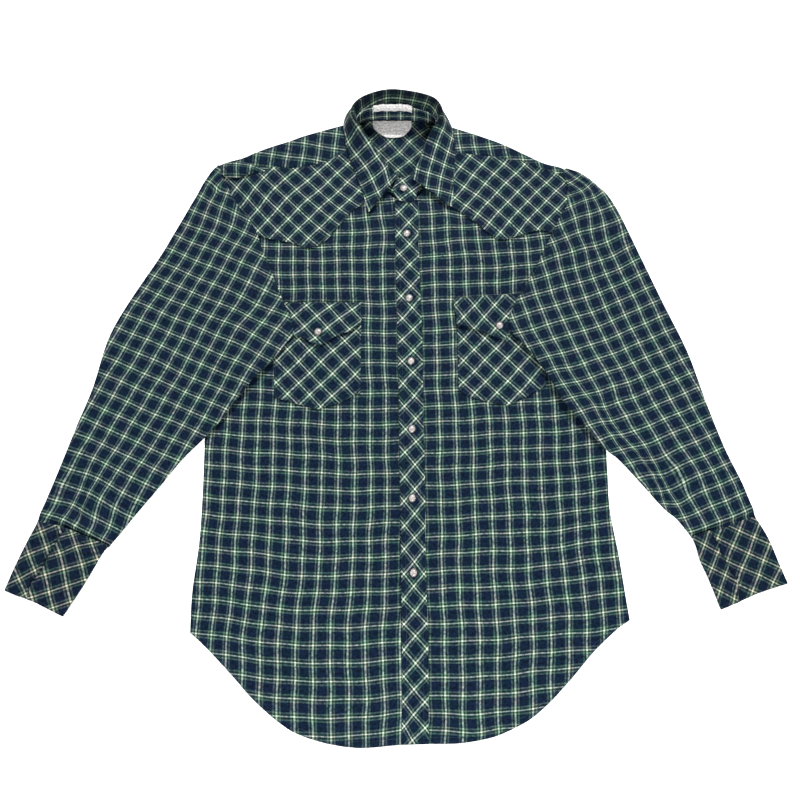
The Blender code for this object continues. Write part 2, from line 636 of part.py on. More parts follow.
def make_snaps():
    for number, (x, y) in enumerate(FRONT_SNAPS, start=1):
        make_snap("snap_front_%d" % number, x, y, seat_on(on_front("left", 1), x, y))
    for side, (x, y) in FLAP_SNAPS.items():
        make_snap("snap_flap_" + side, x, y, seat_on(on_front(side, 2), x, y))
    x, y, top = COLLAR_SNAP
    make_snap("snap_collar", x, y, top + GAP)


# ---------------------------------------------------------------- the shirt
for old in list(bpy.data.objects):
    bpy.data.objects.remove(old, do_unlink=True)
SHIRT = bpy.data.collections.new("western_snap_shirt")
bpy.context.scene.collection.children.link(SHIRT)
CLOTH = material("plaid_cloth", 0.85)
LABEL = material("label_cloth", 0.8)
PEARL = material("pearl", 0.25)

make_back()
make_back_yoke()
make_yoke_lining()
make_fronts()
make_front_yokes()
make_placket()
make_pockets()
for wearer_side in ("right", "left"):
    make_sleeve(wearer_side)
    make_cuff(wearer_side)
make_collar_stand()
make_collar_leaf()
make_labels()
make_snaps()
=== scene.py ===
"""The looks of the western snap shirt, laid flat: cloth shells, plaid, stitches and snaps.

Blender 4.5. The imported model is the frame. Sizes here are in millimetres, in the
frame's own axes, and become metres where a mesh is made. The wearer's left is at +X.
Every cloth piece is a thin shell on its CAD solid. Its plaid comes from a map in
checks (the UV layer "Cloth"), pinned where numbered white lines cross.
"""
import math

import bpy
import numpy as np
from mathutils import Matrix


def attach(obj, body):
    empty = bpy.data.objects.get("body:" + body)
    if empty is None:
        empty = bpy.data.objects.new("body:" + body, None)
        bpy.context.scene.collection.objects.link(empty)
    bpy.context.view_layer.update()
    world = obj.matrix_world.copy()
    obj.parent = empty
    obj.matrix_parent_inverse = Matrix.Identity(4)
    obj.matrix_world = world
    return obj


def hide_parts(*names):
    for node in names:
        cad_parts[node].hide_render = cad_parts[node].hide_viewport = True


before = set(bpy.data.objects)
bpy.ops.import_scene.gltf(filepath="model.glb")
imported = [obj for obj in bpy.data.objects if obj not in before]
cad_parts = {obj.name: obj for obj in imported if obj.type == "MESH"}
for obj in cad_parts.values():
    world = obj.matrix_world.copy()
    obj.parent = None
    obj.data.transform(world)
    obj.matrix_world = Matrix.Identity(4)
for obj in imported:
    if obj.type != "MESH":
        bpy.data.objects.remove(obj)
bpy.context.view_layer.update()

# ------------------------ driving sizes
MM = 0.001
CHECK = 20.4            # one check of the plaid
THREAD_COUNT = 44       # threads in a check
STRIPE_SOFT = 0.02      # soft edge of a stripe, in half checks

# Layers
SOLID_WALL = 1.0        # the CAD solids' cloth
LAYER = 1.4             # one more piece of cloth on top
SHELL = 0.7             # cloth and seam allowance as shown
BAND_WALL = 0.9
LEAF_WALL = 1.0
LABEL_WALL = 0.4
RIM_BULGE = 0.3         # how far a shell's edge is rounded, as a share of its wall
GAP = 0.4
FRONT_REST = SOLID_WALL + LAYER
FRONT_FILL = 1.5        # what lies under the fronts besides
SIDE_FADE = 40.0        # from a side seam to the fronts' full height
LAP_CLEAR = 4.0         # past the underlap's edge the upper front starts to sink
LAP_RAMP = 80.0
BACK_HEM_RISE = 3.0
POCKET_LAYERS = 2.3     # pocket and flap under a sleeve
YOKE_RAMP = (160.0, 30.0)       # in y: where the yoke starts, over how much it rises
POCKET_RAMP = (170.0, 35.0)     # in y: where the pocket's rise starts, going down
POCKET_FADE = 50.0      # and from the side seam
FLAP_CURL = 1.2         # lift of a flap's inner corner, and how far it reaches
FLAP_CURL_REACH = 32.0
PLACKET_LIFT = 1.6      # where its left edge stands off
PLACKET_LIFT_FADE = 5.0

# Shoulders: their length, the fold's radius, and how far it is pressed flat
SHOULDER_LENGTH = 175.0
FOLD_RADIUS = 2.45
FOLD_SQUASH = 0.8
NECK_REACH = 7.5        # the flat yoke runs out this far behind the neck
SHOULDER_INSET = 2.5    # and stays this far inside the shoulder folds
TUCK_HEIGHT = 7.4       # at the sleeve, its sink towards the neck, and its roll
TUCK_SINK = 2.2
TUCK_ROLL = 3.2

# Sleeves
SLEEVE_LENGTH = 430.0   # from the armhole to the cuff's seam
SLEEVE_CELLS = 50
SLEEVE_FOLD = 3.4       # thickness at the folds, and what the middle adds
SLEEVE_CROWN = 2.4
SLEEVE_CLEAR = 2.8      # gap under the inner fold
SLEEVE_ENDS = (0.9, 2.6, 4.2, 5.8, 7.6)
END_PUFF = 1.3          # swell of a sleeve's end above its cuff's seam
PUFF_PLACE = 11.0       # its distance from the end, and its half width
PUFF_WIDTH = 5.0
END_LOW = 1.7           # height of the end itself
END_START = 7.4         # where the step down to it starts, and its width
END_STEP = 3.2
END_SHIFT = (1.4, -3.2)         # from the cuff's seam, outward and down
BODY_RAMP = (16.0, 62.0)        # beside the body a sleeve comes down between these
MOUTH_INSET = 28.0      # how far the hidden armhole lies inside the shown one
MOUTH_AIM = 0.45        # towards this share of the sleeve's length
MOUTH_LIFT = 1.8        # at both ends of the armhole
MOUTH_RAMP = 1 / 18     # shares of the length over which shape and creases grow in
CREASE_RAMP = 1 / 22
CROWN_RAMP = 1 / 6
FOLD_RAMP = 1 / 8       # share of the width over which creases die out at a fold

# Cuffs
CUFF_CELLS = 40
CUFF_LENGTH = 85.0
CUFF_TURN = 1.8         # half a fold's width
CUFF_UNDERLAP = 20.0    # cloth under the lap
CUFF_UNDER = 3.1        # top of the lower end, of the upper one, and its edge's lift
CUFF_OVER = 4.6
CUFF_EDGE = 2.4
RIDGE = (2.4, 4.2, 1.8)         # beside the lap's edge: height, distance, half width
TROUGH = (1.7, 2.0)             # under the edge: depth, half width

# Collar
FOLD_WIDTH = 4.5        # from the leaf's fold to the start of its slope
FOLD_DROP = 0.8
LEAF_BELLY = 0.12       # how round the slope is, as a share of its drop
LEAF_INNER = 8          # cells inside the fold
BACK_PINS = (-9.0, 11.4)        # places of the first two lines along the leaf at the back
BAND_OVER = 1.09        # how far the band runs up under the leaf, of its height
BAND_ZERO = -15         # x of the band's first line behind the neck
BAND_CHECK = 19.6
BAND_BACK_Y = 388       # past this y the band is behind the neck
LEAF_BACK_Y = 396
TAB_CROSS = (20.0, 277.0)       # where lines cross on the tab, their turn and number
TAB_TURN = 38.5
TAB_LINE = 9
TAB_START = 0.8         # share along the band where the tab starts

# From an edge to its row of stitches
EDGE_INSET = 1.8
YOKE_SECOND_INSET = 8.0
YOKE_TOP_INSET = 2.0
HEM_INSET = 6.5
PLACKET_INSET = 5.5
SLEEVE_INSET = 2.2
CUFF_INSET = 3.0
LEAF_INSET = 5.0

# Mesh of the flat pieces: width, height, size of a cell
MESH_SIZES = {
    "back": (480, 620, 9), "front": (270, 700, 3.6), "yoke_right": (190, 110, 3),
    "yoke_left": (180, 110, 3), "yoke_lining": (100, 110, 3), "placket": (31, 690, 3),
    "pocket": (116, 128, 3), "flap": (119, 45, 2.5), "neck_label": (55, 25, 2),
}

# Camera: the photograph's place and angle
CAMERA_PLACE = (0.004, -0.2824, 0.9151)
CAMERA_TILT = 16.0
CAMERA_LENS = 33.47
# Area lights: name, place in metres, size in metres, watts
LAMPS = [
    ("key", (1.0, 5.0, 5.2), 1.4, 808.0), ("side", (-2.4, 0.6, 2.6), 0.8, 8.0),
    ("fill", (0.2, -1.6, 1.2), 0.8, 42.0),
]
NECK_LAMP_PLACE = (0.0, -0.6, 0.36)
NECK_LAMP_POWER = 22.0
NECK_LAMP_TILT = math.atan2(0.985, 0.34)
SKY_STRENGTH = 0.22
FLOOR_HALF = 3000.0
FLOOR_Z = -0.4

# ------------------------ seam lines (x, y)
# Most of these were read on the photograph, changed into mm by a scratch script and copied in
RIGHT_SIDE = [
    (-247, 314), (-250, 300), (-240, 272), (-232, 240), (-230, 190), (-233, 140), (-242, 80),
    (-245, 20), (-241, -83), (-239, -144), (-239, -202), (-243, -258), (-242, -304),
]
LEFT_SIDE = [
    (236, 306), (243, 296), (243, 262), (234, 225), (230, 190), (232, 140), (248, 90), (262, 40),
    (262, -98), (261, -158), (267.5, -216), (272.5, -270), (274.5, -290),
]
RIGHT_HEM = [
    (-242, -304), (-216, -326), (-189, -352), (-163, -378), (-131, -403), (-108, -415),
    (-75, -424), (-39, -428), (2, -425), (31, -424),
]
LEFT_HEM = [
    (6, -424), (37, -423.5), (68, -423.2), (94, -420), (115, -415), (134, -407), (153.5, -397),
    (177, -378.5), (204, -352), (229, -325.5), (256.5, -302), (274.5, -290),
]
CENTRE_EDGE = [(-4, 264), (-2, 174), (4, -22), (4, -221), (6, -336), (6, -424)]
PLACKET_LEFT = [
    (-2.5, 264), (-2.4, 213), (-0.4, 115), (0.9, 66), (3.3, -61), (4, -125), (5.9, -267),
    (6.3, -334), (6.2, -423.5),
]
PLACKET_RIGHT = [
    (28.7, 264), (28.7, 213), (31.6, 101), (32.8, 59), (33.7, -61), (34.6, -125), (34.5, -198),
    (35.7, -273), (36.8, -323), (36.4, -423.5),
]
UNDERLAP_EDGE = [(26, 268), (27, 174), (31, -22), (31, -221), (33, -336), (31, -424)]
RIGHT_SHOULDER = [
    (-76, 387), (-89, 383), (-132, 369), (-152, 360.5), (-177, 351.5), (-199, 342), (-217, 333),
    (-239, 326),
]
LEFT_SHOULDER = [
    (72, 385), (90, 379), (117, 369), (149, 355.5), (181, 338), (206, 324.5), (228, 318),
]
RIGHT_YOKE_SEAM = [
    (-67, 350), (-82, 337), (-105, 325), (-144, 316), (-168, 318), (-186, 314), (-206, 317),
    (-239, 313),
]
LEFT_YOKE_SEAM = [
    (70, 345), (81, 342), (114, 337), (137, 334), (157, 330), (177, 326), (201, 315), (228, 306),
]
RIGHT_NECK = [(-67, 350), (-63, 343), (-50, 327), (-35, 306), (-18, 284), (-4, 270)]
LEFT_NECK = [(70, 345), (60, 322), (48, 300), (36, 281), (24, 267), (-4, 264)]
RIGHT_ARMHOLE = [
    (-244, 303), (-234, 284), (-219, 257), (-205, 239), (-190, 213), (-182, 189), (-170, 162),
    (-157, 129), (-143, 97), (-133, 68),
]
LEFT_ARMHOLE = [
    (230, 309), (236, 292), (235, 275), (234, 258), (221, 236), (211, 214), (200, 192),
    (185, 161), (167, 127), (155, 109), (146, 87),
]
RIGHT_YOKE_POINT = [
    (-195, 215), (-177, 207), (-149, 201), (-129, 195), (-118, 192), (-99, 201), (-78, 227),
    (-62, 248), (-44, 262), (-22, 288),
]
LEFT_YOKE_POINT = [
    (215, 214), (193, 219), (171, 212), (152, 206), (140, 204), (128, 211), (110, 228), (88, 246),
    (62, 262), (38, 284),
]
BACK_NECK = [
    (-76, 387), (-62, 388), (-45, 391), (-17, 393), (10, 392), (38, 389), (60, 385), (72, 385),
]
BACK_YOKE_SEAM = [(-236, 266), (0, 240), (236, 266)]
# A piece between four lines; left and right leave out the corners
POCKETS = {
    "right": dict(
        top=[(-163, 110), (-47, 110)],
        left=[],
        right=[],
        bottom=[(-156, -18), (-126, -27), (-102, -34), (-73, -26), (-47, -11)],
    ),
    "left": dict(
        top=[(79, 115), (193, 118)],
        left=[],
        right=[],
        bottom=[(79, -10), (96, -18), (116, -24), (141, -29), (164, -18), (191, -2)],
    ),
}
FLAPS = {
    "right": dict(
        top=[(-165, 112), (-46, 112)],
        left=[],
        right=[(-46, 93), (-46.5, 87)],
        bottom=[
            (-163, 83), (-133, 65), (-118, 60), (-111, 54.5), (-101, 51), (-89, 57), (-78, 65),
            (-61, 71), (-50, 78.5),
        ],
    ),
    "left": dict(
        top=[(75, 118), (110, 120.5), (145, 124), (190, 126)],
        left=[(76.5, 94)],
        right=[],
        bottom=[(77.5, 80.5), (99, 75), (118, 67.5), (138, 58), (146, 68), (166, 76), (189, 84)],
    ),
}
FLAP_CORNERS = {
    "right": FLAPS["right"]["bottom"][-1],
    "left": FLAPS["left"]["bottom"][0],
}
LINING = dict(
    top=[(-44, 393), (-17, 395.7), (10, 395.2), (38, 391)],
    bottom=[(-8, 280), (12, 276), (30, 280)],
    left=[(-56, 368), (-48, 335), (-26, 300)],
    right=[(58, 366), (56, 335), (42, 300)],
)
NECK_LABEL = dict(
    top=[(-35, 393.5), (20, 393.5)],
    left=[(-34, 383)],
    right=[(20, 383)],
    bottom=[(-29, 376), (-17, 367), (-4, 366), (8, 368), (16, 376)],
)
# Where the outer yoke's folds and its front seams end on the sleeves
SHOULDER_ENDS = [((-251, 320), (-251, 306)), ((241, 311), (241, 300))]
SLEEVES = {
    "right": dict(
        corner=(-249, 320),
        outer=[
            (-257.5, 311), (-268.5, 291), (-277, 272.5), (-286.5, 254), (-303, 218), (-320, 181),
            (-356.8, 111.5), (-377.5, 61.7), (-390.2, -4.6), (-404, -52), (-421, -114),
        ],
        inner=[
            (-160, 29), (-177, 12), (-191, -7), (-202, -23), (-218, -45), (-240, -71),
            (-266, -99), (-289, -129), (-312, -159), (-334, -188),
        ],
        cuff_seam=[(-438, -174), (-408, -180), (-376, -192), (-347, -203)],
        armhole=RIGHT_ARMHOLE,
    ),
    "left": dict(
        corner=(237, 314.5),
        outer=[
            (254, 308), (263.5, 301), (271, 295), (280, 286), (288, 278.5), (295.2, 268.5),
            (307.2, 242.5), (328.8, 181.3), (353.4, 111.7), (378, 44.4), (394, -21), (411, -83),
            (428, -129),
        ],
        inner=[
            (150, 68), (170, 44), (185, 22), (196, 3), (208, -22), (219, -36), (232, -52),
            (240, -63), (251, -76), (264, -90), (275, -99), (301, -129), (326, -159), (342, -173),
        ],
        cuff_seam=[(438, -168), (420, -173), (380, -185), (357, -192)],
        armhole=LEFT_ARMHOLE,
    ),
}
# A cuff's lap is where its upper end stops, as (share down the cuff, share across it)
CUFFS = {
    "right": dict(
        seam=[(-438, -175), (-408, -181), (-376, -193), (-348, -204)],
        end=[(-467, -256), (-452, -262), (-430, -269), (-393, -286)],
        outer=[(-449, -202), (-459, -230)],
        inner=[(-355, -214), (-368, -241), (-377, -258)],
        lap=[
            (0.0, 0.38), (0.09, 0.4), (0.32, 0.405), (0.42, 0.385), (0.52, 0.39), (0.65, 0.4),
            (0.76, 0.355), (0.87, 0.365), (1.0, 0.41),
        ],
    ),
    "left": dict(
        seam=[(438, -169), (420, -174), (398, -183), (380, -186), (358, -193)],
        end=[(467, -248), (431, -259), (406, -269), (383, -278)],
        outer=[(447, -186), (453, -201), (461, -229)],
        inner=[(362, -207), (365, -223), (372, -242)],
        lap=[
            (0.0, 0.74), (0.18, 0.71), (0.33, 0.725), (0.45, 0.69), (0.57, 0.705), (0.76, 0.66),
            (0.94, 0.735), (1.0, 0.77),
        ],
    ),
}
# Collar band: seam (x, y, z), top (x, y, z)
BAND_STATIONS = [
    ((25, 271, 5.4), (27, 292, 6.4)),
    ((2, 273, 5.4), (4, 296, 6.6)),
    ((-21, 287, 7.0), (-14, 309, 10.5)),
    ((-38, 309, 7.0), (-28, 325, 15)),
    ((-53, 334, 7.0), (-40, 345, 19)),
    ((-66, 360, 7.0), (-53, 365, 24)),
    ((-66, 380, 7.0), (-57, 381, 27)),
    ((-46, 393.5, 3.8), (-43, 392.5, 29)),
    ((-17, 396.5, 3.0), (-17, 395.5, 30)),
    ((10, 396, 3.0), (10, 395, 30)),
    ((40, 391.5, 3.8), (38, 390.5, 29)),
    ((66, 376, 7.0), (55, 378, 27)),
    ((69, 355, 7.0), (51, 361, 24)),
    ((62, 331, 7.0), (43, 341, 19)),
    ((50, 306, 7.2), (35, 320, 14)),
    ((39, 291, 8.0), (26, 303, 10.5)),
    ((29, 280, 8.6), (18, 298, 9.8)),
    ((26.5, 269, 8.6), (13, 296, 9.7)),
    ((19.5, 260.5, 8.6), (8, 295, 9.6)),
    ((9.5, 261.5, 8.6), (3, 294, 9.5)),
    ((1.5, 265, 8.6), (-1.5, 290.5, 9.4)),
    ((-4.5, 276, 8.6), (-5, 283, 9.3)),
]
# Collar leaf, from point to point: root, top of the fold, outer edge (x, y, z)
LEAF_STATIONS = [
    ((1, 297, 8.0), (2, 299, 11.4), (-39, 244.5, 7.2)),
    ((-13, 309, 11.6), (-11, 311, 15.2), (-47, 274, 7.2)),
    ((-26, 326, 16.0), (-23, 326, 19.8), (-58, 306, 7.2)),
    ((-38, 345, 20.0), (-35, 344, 23.8), (-66, 327, 7.2)),
    ((-51, 365, 25.0), (-49, 364, 29.0), (-73, 355, 7.2)),
    ((-56, 382, 28.6), (-60, 385, 33.5), (-76, 389, 8.0)),
    ((-42, 393.5, 30.8), (-50, 402, 38.5), (-62, 418, 2.4)),
    ((-17, 396.5, 31.7), (-19, 414, 40.0), (-22, 427, 2.4)),
    ((10, 396, 31.7), (12, 413, 40.0), (14, 427, 2.4)),
    ((37, 391.5, 30.8), (49, 403, 38.5), (58, 417, 2.4)),
    ((54, 379, 28.6), (59, 382, 33.5), (76, 385, 8.0)),
    ((49, 361, 25.0), (47, 360, 29.0), (81, 355, 7.2)),
    ((41, 341, 20.0), (38, 340, 23.8), (81, 328, 7.2)),
    ((33, 321, 15.0), (31, 321, 18.8), (79, 300, 7.2)),
    ((21, 292, 10.4), (20, 294, 13.6), (75.5, 252.5, 7.2)),
]
FRONT_SNAPS = [(13, 213), (16, 118), (18, 30), (19, -60), (19, -147), (20, -236)]
FLAP_SNAPS = {
    "right": (-103, 70),
    "left": (134, 79),
}
COLLAR_SNAP = (9, 281, 9.5)     # x, y, seat
SEAT_REACH = 5.8        # a snap clears the cloth all round as far as this
SEAT_CLEAR = 0.15
# A snap's cap and its ring, from the axis: radius, height
CAP_PROFILE = [
    (0.0, 2.6), (1.1, 2.55), (2.2, 2.36), (3.1, 2.04), (3.75, 1.66), (4.08, 1.3), (4.12, 0.9),
]
RING_PROFILE = [
    (4.12, 1.2), (4.22, 1.45), (4.5, 1.6), (4.9, 1.5), (5.2, 1.15), (5.3, 0.7), (5.15, 0.3),
    (4.9, 0.0), (0.0, 0.0),
]
# The size label: its ends in x; its places up the band or the leaf, and how far they stand off
SIZE_LABEL_FROM, SIZE_LABEL_TO = -34, 21
SIZE_LABEL_SHARES = [("band", 0.84), ("band", 1.06), ("leaf", 0.12)]
SIZE_LABEL_OFFSETS = [(0, -2.0, 0), (0, -2.0, 0), (0, -1.6, 2.6)]
SIZE_LABEL_MAP = 0.55   # checks up the label

# ------------------------ swells and creases
# Low swells of the fronts: centre x, y, half width, half length, height
SWELLS = [
    (-120.0, 130.0, 110.0, 150.0, 1.0),
    (120.0, 150.0, 110.0, 140.0, 1.0),
    (-120.0, -130.0, 120.0, 170.0, 1.4),
    (150.0, -150.0, 110.0, 190.0, 1.6),
    (-30.0, -290.0, 110.0, 120.0, 0.9),
    (200.0, -250.0, 60.0, 110.0, 1.2),
]
# Creases: from x, y, to x, y, half width, height (a trough is below 0)
BODY_CREASES = [
    (-28, 190, -60, 120, 7, 0.5), (-170, -60, -120, -110, 9, 0.6),
    (-215, -90, -190, -210, 8, 0.6), (-60, -180, -85, -330, 11, 0.5),
    (-130, -250, -100, -380, 9, 0.5), (-20, -60, -30, -160, 6, 0.5), (60, 60, 70, -60, 8, 0.5),
    (110, -80, 95, -230, 10, 0.6), (230, -40, 200, -130, 9, 0.7), (245, -150, 225, -260, 8, 0.8),
    (180, -220, 150, -360, 10, 0.6), (70, -300, 80, -410, 8, 0.5),
    (-190, -330, -150, -260, 8, 0.5), (55, 200, 75, 130, 7, 0.5),
]
SLEEVE_CREASES = {
    "right": [
        (-252, 318, -212, 304, 3.5, 1.3), (-226, 300, -205, 284, 3, -1.2),
        (-262, 296, -240, 262, 6, 0.9), (-222, 280, -232, 226, 6, 0.7),
        (-360, 108, -290, 92, 9, 0.8), (-372, 66, -320, 62, 8, -0.7),
        (-236, 272, -214, 260, 3, -2.4), (-228, 262, -212, 252, 3, 1.5),
        (-215, -30, -262, -62, 7, 0.8), (-205, 40, -250, 10, 9, 0.6),
        (-300, -140, -330, -165, 5, -0.9), (-382, -138, -388, -158, 2.6, -4.6),
        (-388, -158, -387, -184, 2.6, -4.6), (-379, -146, -382, -186, 3, 2.2),
        (-300, 150, -262, 60, 10, 0.5), (-350, -30, -370, -110, 9, 0.5),
    ],
    "left": [
        (238, -14, 262, -52, 4, 1.5), (231, -4, 248, -26, 2.4, -2.2),
        (255, -38, 283, -78, 5, -1.1), (268, -60, 300, -98, 4.5, 1.8),
        (292, -84, 314, -116, 3, 2.2), (300, -86, 320, -117, 2.6, -4.4),
        (310, -130, 332, -168, 3, 2.0), (317, -131, 340, -169, 2.6, -4.2),
        (232, 290, 246, 279, 3, -2.5), (237, 262, 229, 247, 2.6, -4.2),
        (229, 247, 218, 228, 2.6, -4.2), (218, 228, 206, 203, 2.6, -4.2),
        (206, 203, 193, 184, 2.6, -3.2), (244, 288, 264, 268, 5, 1.2), (357, 50, 373, 4, 4, -1.2),
        (365, 52, 382, 0, 4, 1.0), (376, -13, 392, -60, 4, -0.9), (234, 300, 262, 286, 4, 1.2),
        (240, 290, 268, 272, 4, -1.0), (262, 286, 284, 240, 5, 0.9), (250, 270, 262, 215, 6, 0.6),
        (369, -150, 378, -186, 3.5, 1.2), (300, 120, 320, 40, 10, 0.6),
        (340, -40, 372, -130, 9, 0.5),
    ],
}

# A tuck of cloth rolled over the wearer's right sleeve head: its two edges
TUCK_TOP = [
    (-243, 319), (-235, 322.5), (-225, 323.6), (-215, 323), (-205, 321), (-195, 317.5),
    (-184, 311.5),
]
TUCK_BOTTOM = [
    (-245, 305), (-237, 300.5), (-223, 299), (-216, 300), (-210, 302), (-201.5, 306), (-186, 309),
]

# ------------------------ plaid pins
# Where white lines cross: x, y, warp line, weft line. Most were copied in from scratch scripts,
# which changed readings into mm; 65 (fronts, sleeves, yokes) a script found in the photograph
FRONT_PINS = {
    "right": [
        (-22.2, 241.4, 4, 19), (-40.5, 216.7, 3, 18), (-18.7, 218.6, 4, 18),
        (-39.9, 196.4, 3, 17), (-18.6, 197.8, 4, 17), (-40, 175, 3, 16), (-159, 174, -3, 16),
        (-99, 133, 0, 14), (-18, 112, 4, 13), (-214, -86, -6, 3), (-134, -134, -2, 1),
        (-52, -158, 2, 0), (-114, -239, -1, -4), (-216, -307, -6, -8), (-179, -312, -4, -8),
        (-138, -316, -2, -8), (-16, -315, 4, -8), (-96, -377, 0, -11), (-34.8, -396, 3, -12),
        (-14, -393.5, 4, -12), (4.3, -391, 5, -12), (-53.7, -397, 2, -12), (4.9, -371.5, 5, -11),
        (-55, -377.6, 2, -11), (4.3, -409.5, 5, -13), (-53.3, -415.8, 2, -13),
        (4.9, -352.6, 5, -10), (-55.4, -358.8, 2, -10), (4.3, -332.5, 5, -9),
        (-56.7, -338.4, 2, -9), (4.3, -313.2, 5, -8), (-57.1, -318.8, 2, -8),
    ],
    "left": [
        (47.6, 244.7, -4, 19), (68.4, 245.9, -3, 19), (48.1, 222.3, -4, 18), (68.8, 224, -3, 18),
        (48.5, 200, -4, 17), (69.3, 202.7, -3, 17), (88, 242, -2, 19), (51, 94, -4, 12),
        (92, 161, -2, 15), (176, 188, 2, 16), (199, -185, 3, -2), (109, 225, -1, 18),
        (177, 168, 2, 15), (50, 159, -4, 15), (155, 144, 1, 14), (52, 32, -4, 9),
        (242, -79, 5, 3), (54, -110, -4, 2), (158, -146, 1, 0), (116, -211, -1, -3),
        (241, -199, 5, -3), (76, -314, -3, -8), (223, -304, 4, -8), (158, -347, 1, -10),
        (54.8, -409.6, -4, -13), (74.5, -412.1, -3, -13), (95.3, -411.9, -2, -13),
        (115.2, -408.7, -1, -13), (135, -406.6, 0, -13), (56, -392.1, -4, -12),
        (75, -393.5, -3, -12), (95.9, -393, -2, -12), (115.8, -390.9, -1, -12),
        (135.8, -388.5, 0, -12), (155.5, -386.4, 1, -12), (56.3, -373.5, -4, -11),
        (76.4, -373.5, -3, -11), (96.4, -372.6, -2, -11), (116.5, -370.9, -1, -11),
    ],
}
SLEEVE_PINS = {
    "right": [
        (-250, 283, -4, 11), (-217, 197, -1, 8), (-261, 146, -2, 5), (-189, 159, 1, 7),
        (-337, 87, -4, 1), (-207, 75, 2, 3), (-363, 31, -4, -2), (-167, 148, 2, 7),
        (-154, 119, 3, 6), (-144, 92, 4, 5), (-138, 61, 5, 4), (-150, 44.5, 5, 3),
        (-166, 53, 4, 3), (-175, 127, 2, 6), (-184, 107, 2, 5), (-164.5, 99, 3, 5),
        (-156, 73, 4, 4), (-287, 43, -1, 0), (-277, 14, 0, -1), (-225, -8, 3, -1),
        (-206, -16, 4, -1), (-243, -45, 3, -3), (-377, -98, -2, -8), (-349, -179, 1, -11),
        (-386, -205, 0, -13), (-260, 292, -5, 11), (-248, 280, -4, 11), (-235, 275, -3, 11),
        (-256, 260, -4, 10), (-240, 253, -3, 10), (-202, 233, -1, 10), (-262, 239, -4, 9),
        (-225, 224, -2, 9), (-247, 311, -5, 12), (-396, -91, -3, -8), (-404, -111, -3, -9),
        (-384, -117, -2, -9), (-412, -129.5, -3, -10), (-389, -137, -2, -10),
        (-378, -141, -1, -10), (-418, -150, -3, -11), (-396, -155, -2, -11),
        (-385, -161, -1, -11), (-425, -167, -3, -12), (-368, -170, 0, -11),
        (-372.5, -188, 0, -12),
    ],
    "left": [
        (239, 255, 1, 10), (278, 248, 3, 9), (255, 278, 2, 11), (260, 264, 2, 10),
        (262, 241, 2, 9), (271, 267, 3, 10), (285, 277, 4, 10), (295, 256, 4, 9),
        (272, 292, 4, 11), (257, 304, 4, 12), (240, 291.5, 2, 12), (246, 213, 1, 8),
        (267, 194, 2, 7), (281, 226, 3, 8), (303, 235, 4, 8), (253, 190, 1, 7), (243, 141, 0, 5),
        (298, 162, 3, 5), (239.5, 162, 0, 6), (312, 193, 4, 6), (319, 103, 3, 2),
        (159, 68, -5, 3), (170, 94, -4, 4), (304, 28, 1, -1), (176.5, 71, -4, 3),
        (203, 57, -3, 2), (224, 65, -2, 2), (195, 34, -4, 1), (212, 38, -3, 1), (232, 45, -2, 1),
        (203, 16, -4, 0), (219, 18.5, -3, 0), (240, 26, -2, 0), (212, -3.5, -4, -1),
        (229, 0, -3, -1), (255, 98, 0, 3), (221, -21, -4, -2), (276, -4, -1, -2),
        (249.5, -32.5, -3, -3), (242, -56, -4, -4), (232, -38.5, -4, -3), (254, -74.5, -4, -5),
        (259, -51, -3, -4), (269, -69, -3, -5), (279, -87.5, -3, -6), (288.5, -104, -3, -7),
        (298, -122, -3, -8), (262, -32, -2, -3), (270, -50, -2, -4), (281, -68, -2, -5),
        (294, -84, -2, -6), (305.5, -100, -2, -7), (316.5, -117.5, -2, -8), (324.5, -138, -2, -9),
        (327, -153, -2, -10), (299, -62, -1, -5), (309.5, -79.5, -1, -6), (317.5, -99, -1, -7),
        (353.5, -127, 0, -9), (301, -18, 0, -3), (309, -36, 0, -4), (289.5, -43, -1, -4),
        (325, -117, -1, -8), (333, -136, -1, -9), (342.5, -153.5, -1, -10), (327, -72, 0, -6),
        (345.5, -109, 0, -8), (248, 7, -2, -1), (367, -13, 3, -4), (383, -94, 2, -8),
        (359, -146, 0, -10), (409, -169, 2, -12), (375, -182, 0, -12),
    ],
}
YOKE_PINS = {
    "right": [
        (-185, 301, -2, -1), (-111, 308, 0, 2), (-69, 323, 1, 4), (-206, 268, -2, -3),
        (-68, 293, 2, 3), (-137, 252, 1, -1), (-63, 240, 4, 1), (-163, 219, 1, -3),
    ],
    "left": [
        (102, 335, -4, 1), (80, 269, -3, -2), (124, 261, -1, -1), (208, 293, 1, 3),
        (221, 280, 2, 3), (139, 246, 0, -1), (154, 232, 1, -1), (192, 221, 3, 0),
    ],
}
POCKET_PINS = {
    "right": [
        (-98, 30, 0, 0), (-54, 13, 2, 1), (-68, 58, 0, 2), (-155, 2, -1, -3), (-96, -30, 2, -2),
    ],
    "left": [
        (128, 18, 0, 0), (85, 1, -1, -2), (86, 61, -3, 0), (172, 5, 2, 1), (172, 37, 1, 2),
        (143, -26, 2, -1),
    ],
}
FLAP_PINS = {
    "right": [(-105, 92, 0, 0), (-60, 102, 1, 2), (-106, 62, 1, -1), (-134, 94, -1, -1)],
    "left": [
        (115, 91, 0, 0), (103, 107, -1, 0), (144, 93, 1, 1), (88, 91, -1, -1), (129, 108, 0, 1),
    ],
}
PLACKET_PINS = [
    (16, 261, 0, 0), (20, 105, 5, -5), (24, -46, 10, -10), (22, -223, 16, -16),
    (22, -308, 19, -19), (18, -419.5, 23, -23), (2, 246, 0, -1), (9, -30, 9, -10),
    (19, -392, 22, -22), (8.7, -404.5, 22, -23), (32.5, -405.7, 23, -22), (8, -266, 17, -18),
    (9, -352, 20, -21), (34, -151, 14, -13), (33, -237, 17, -16), (35, -352, 21, -20),
]
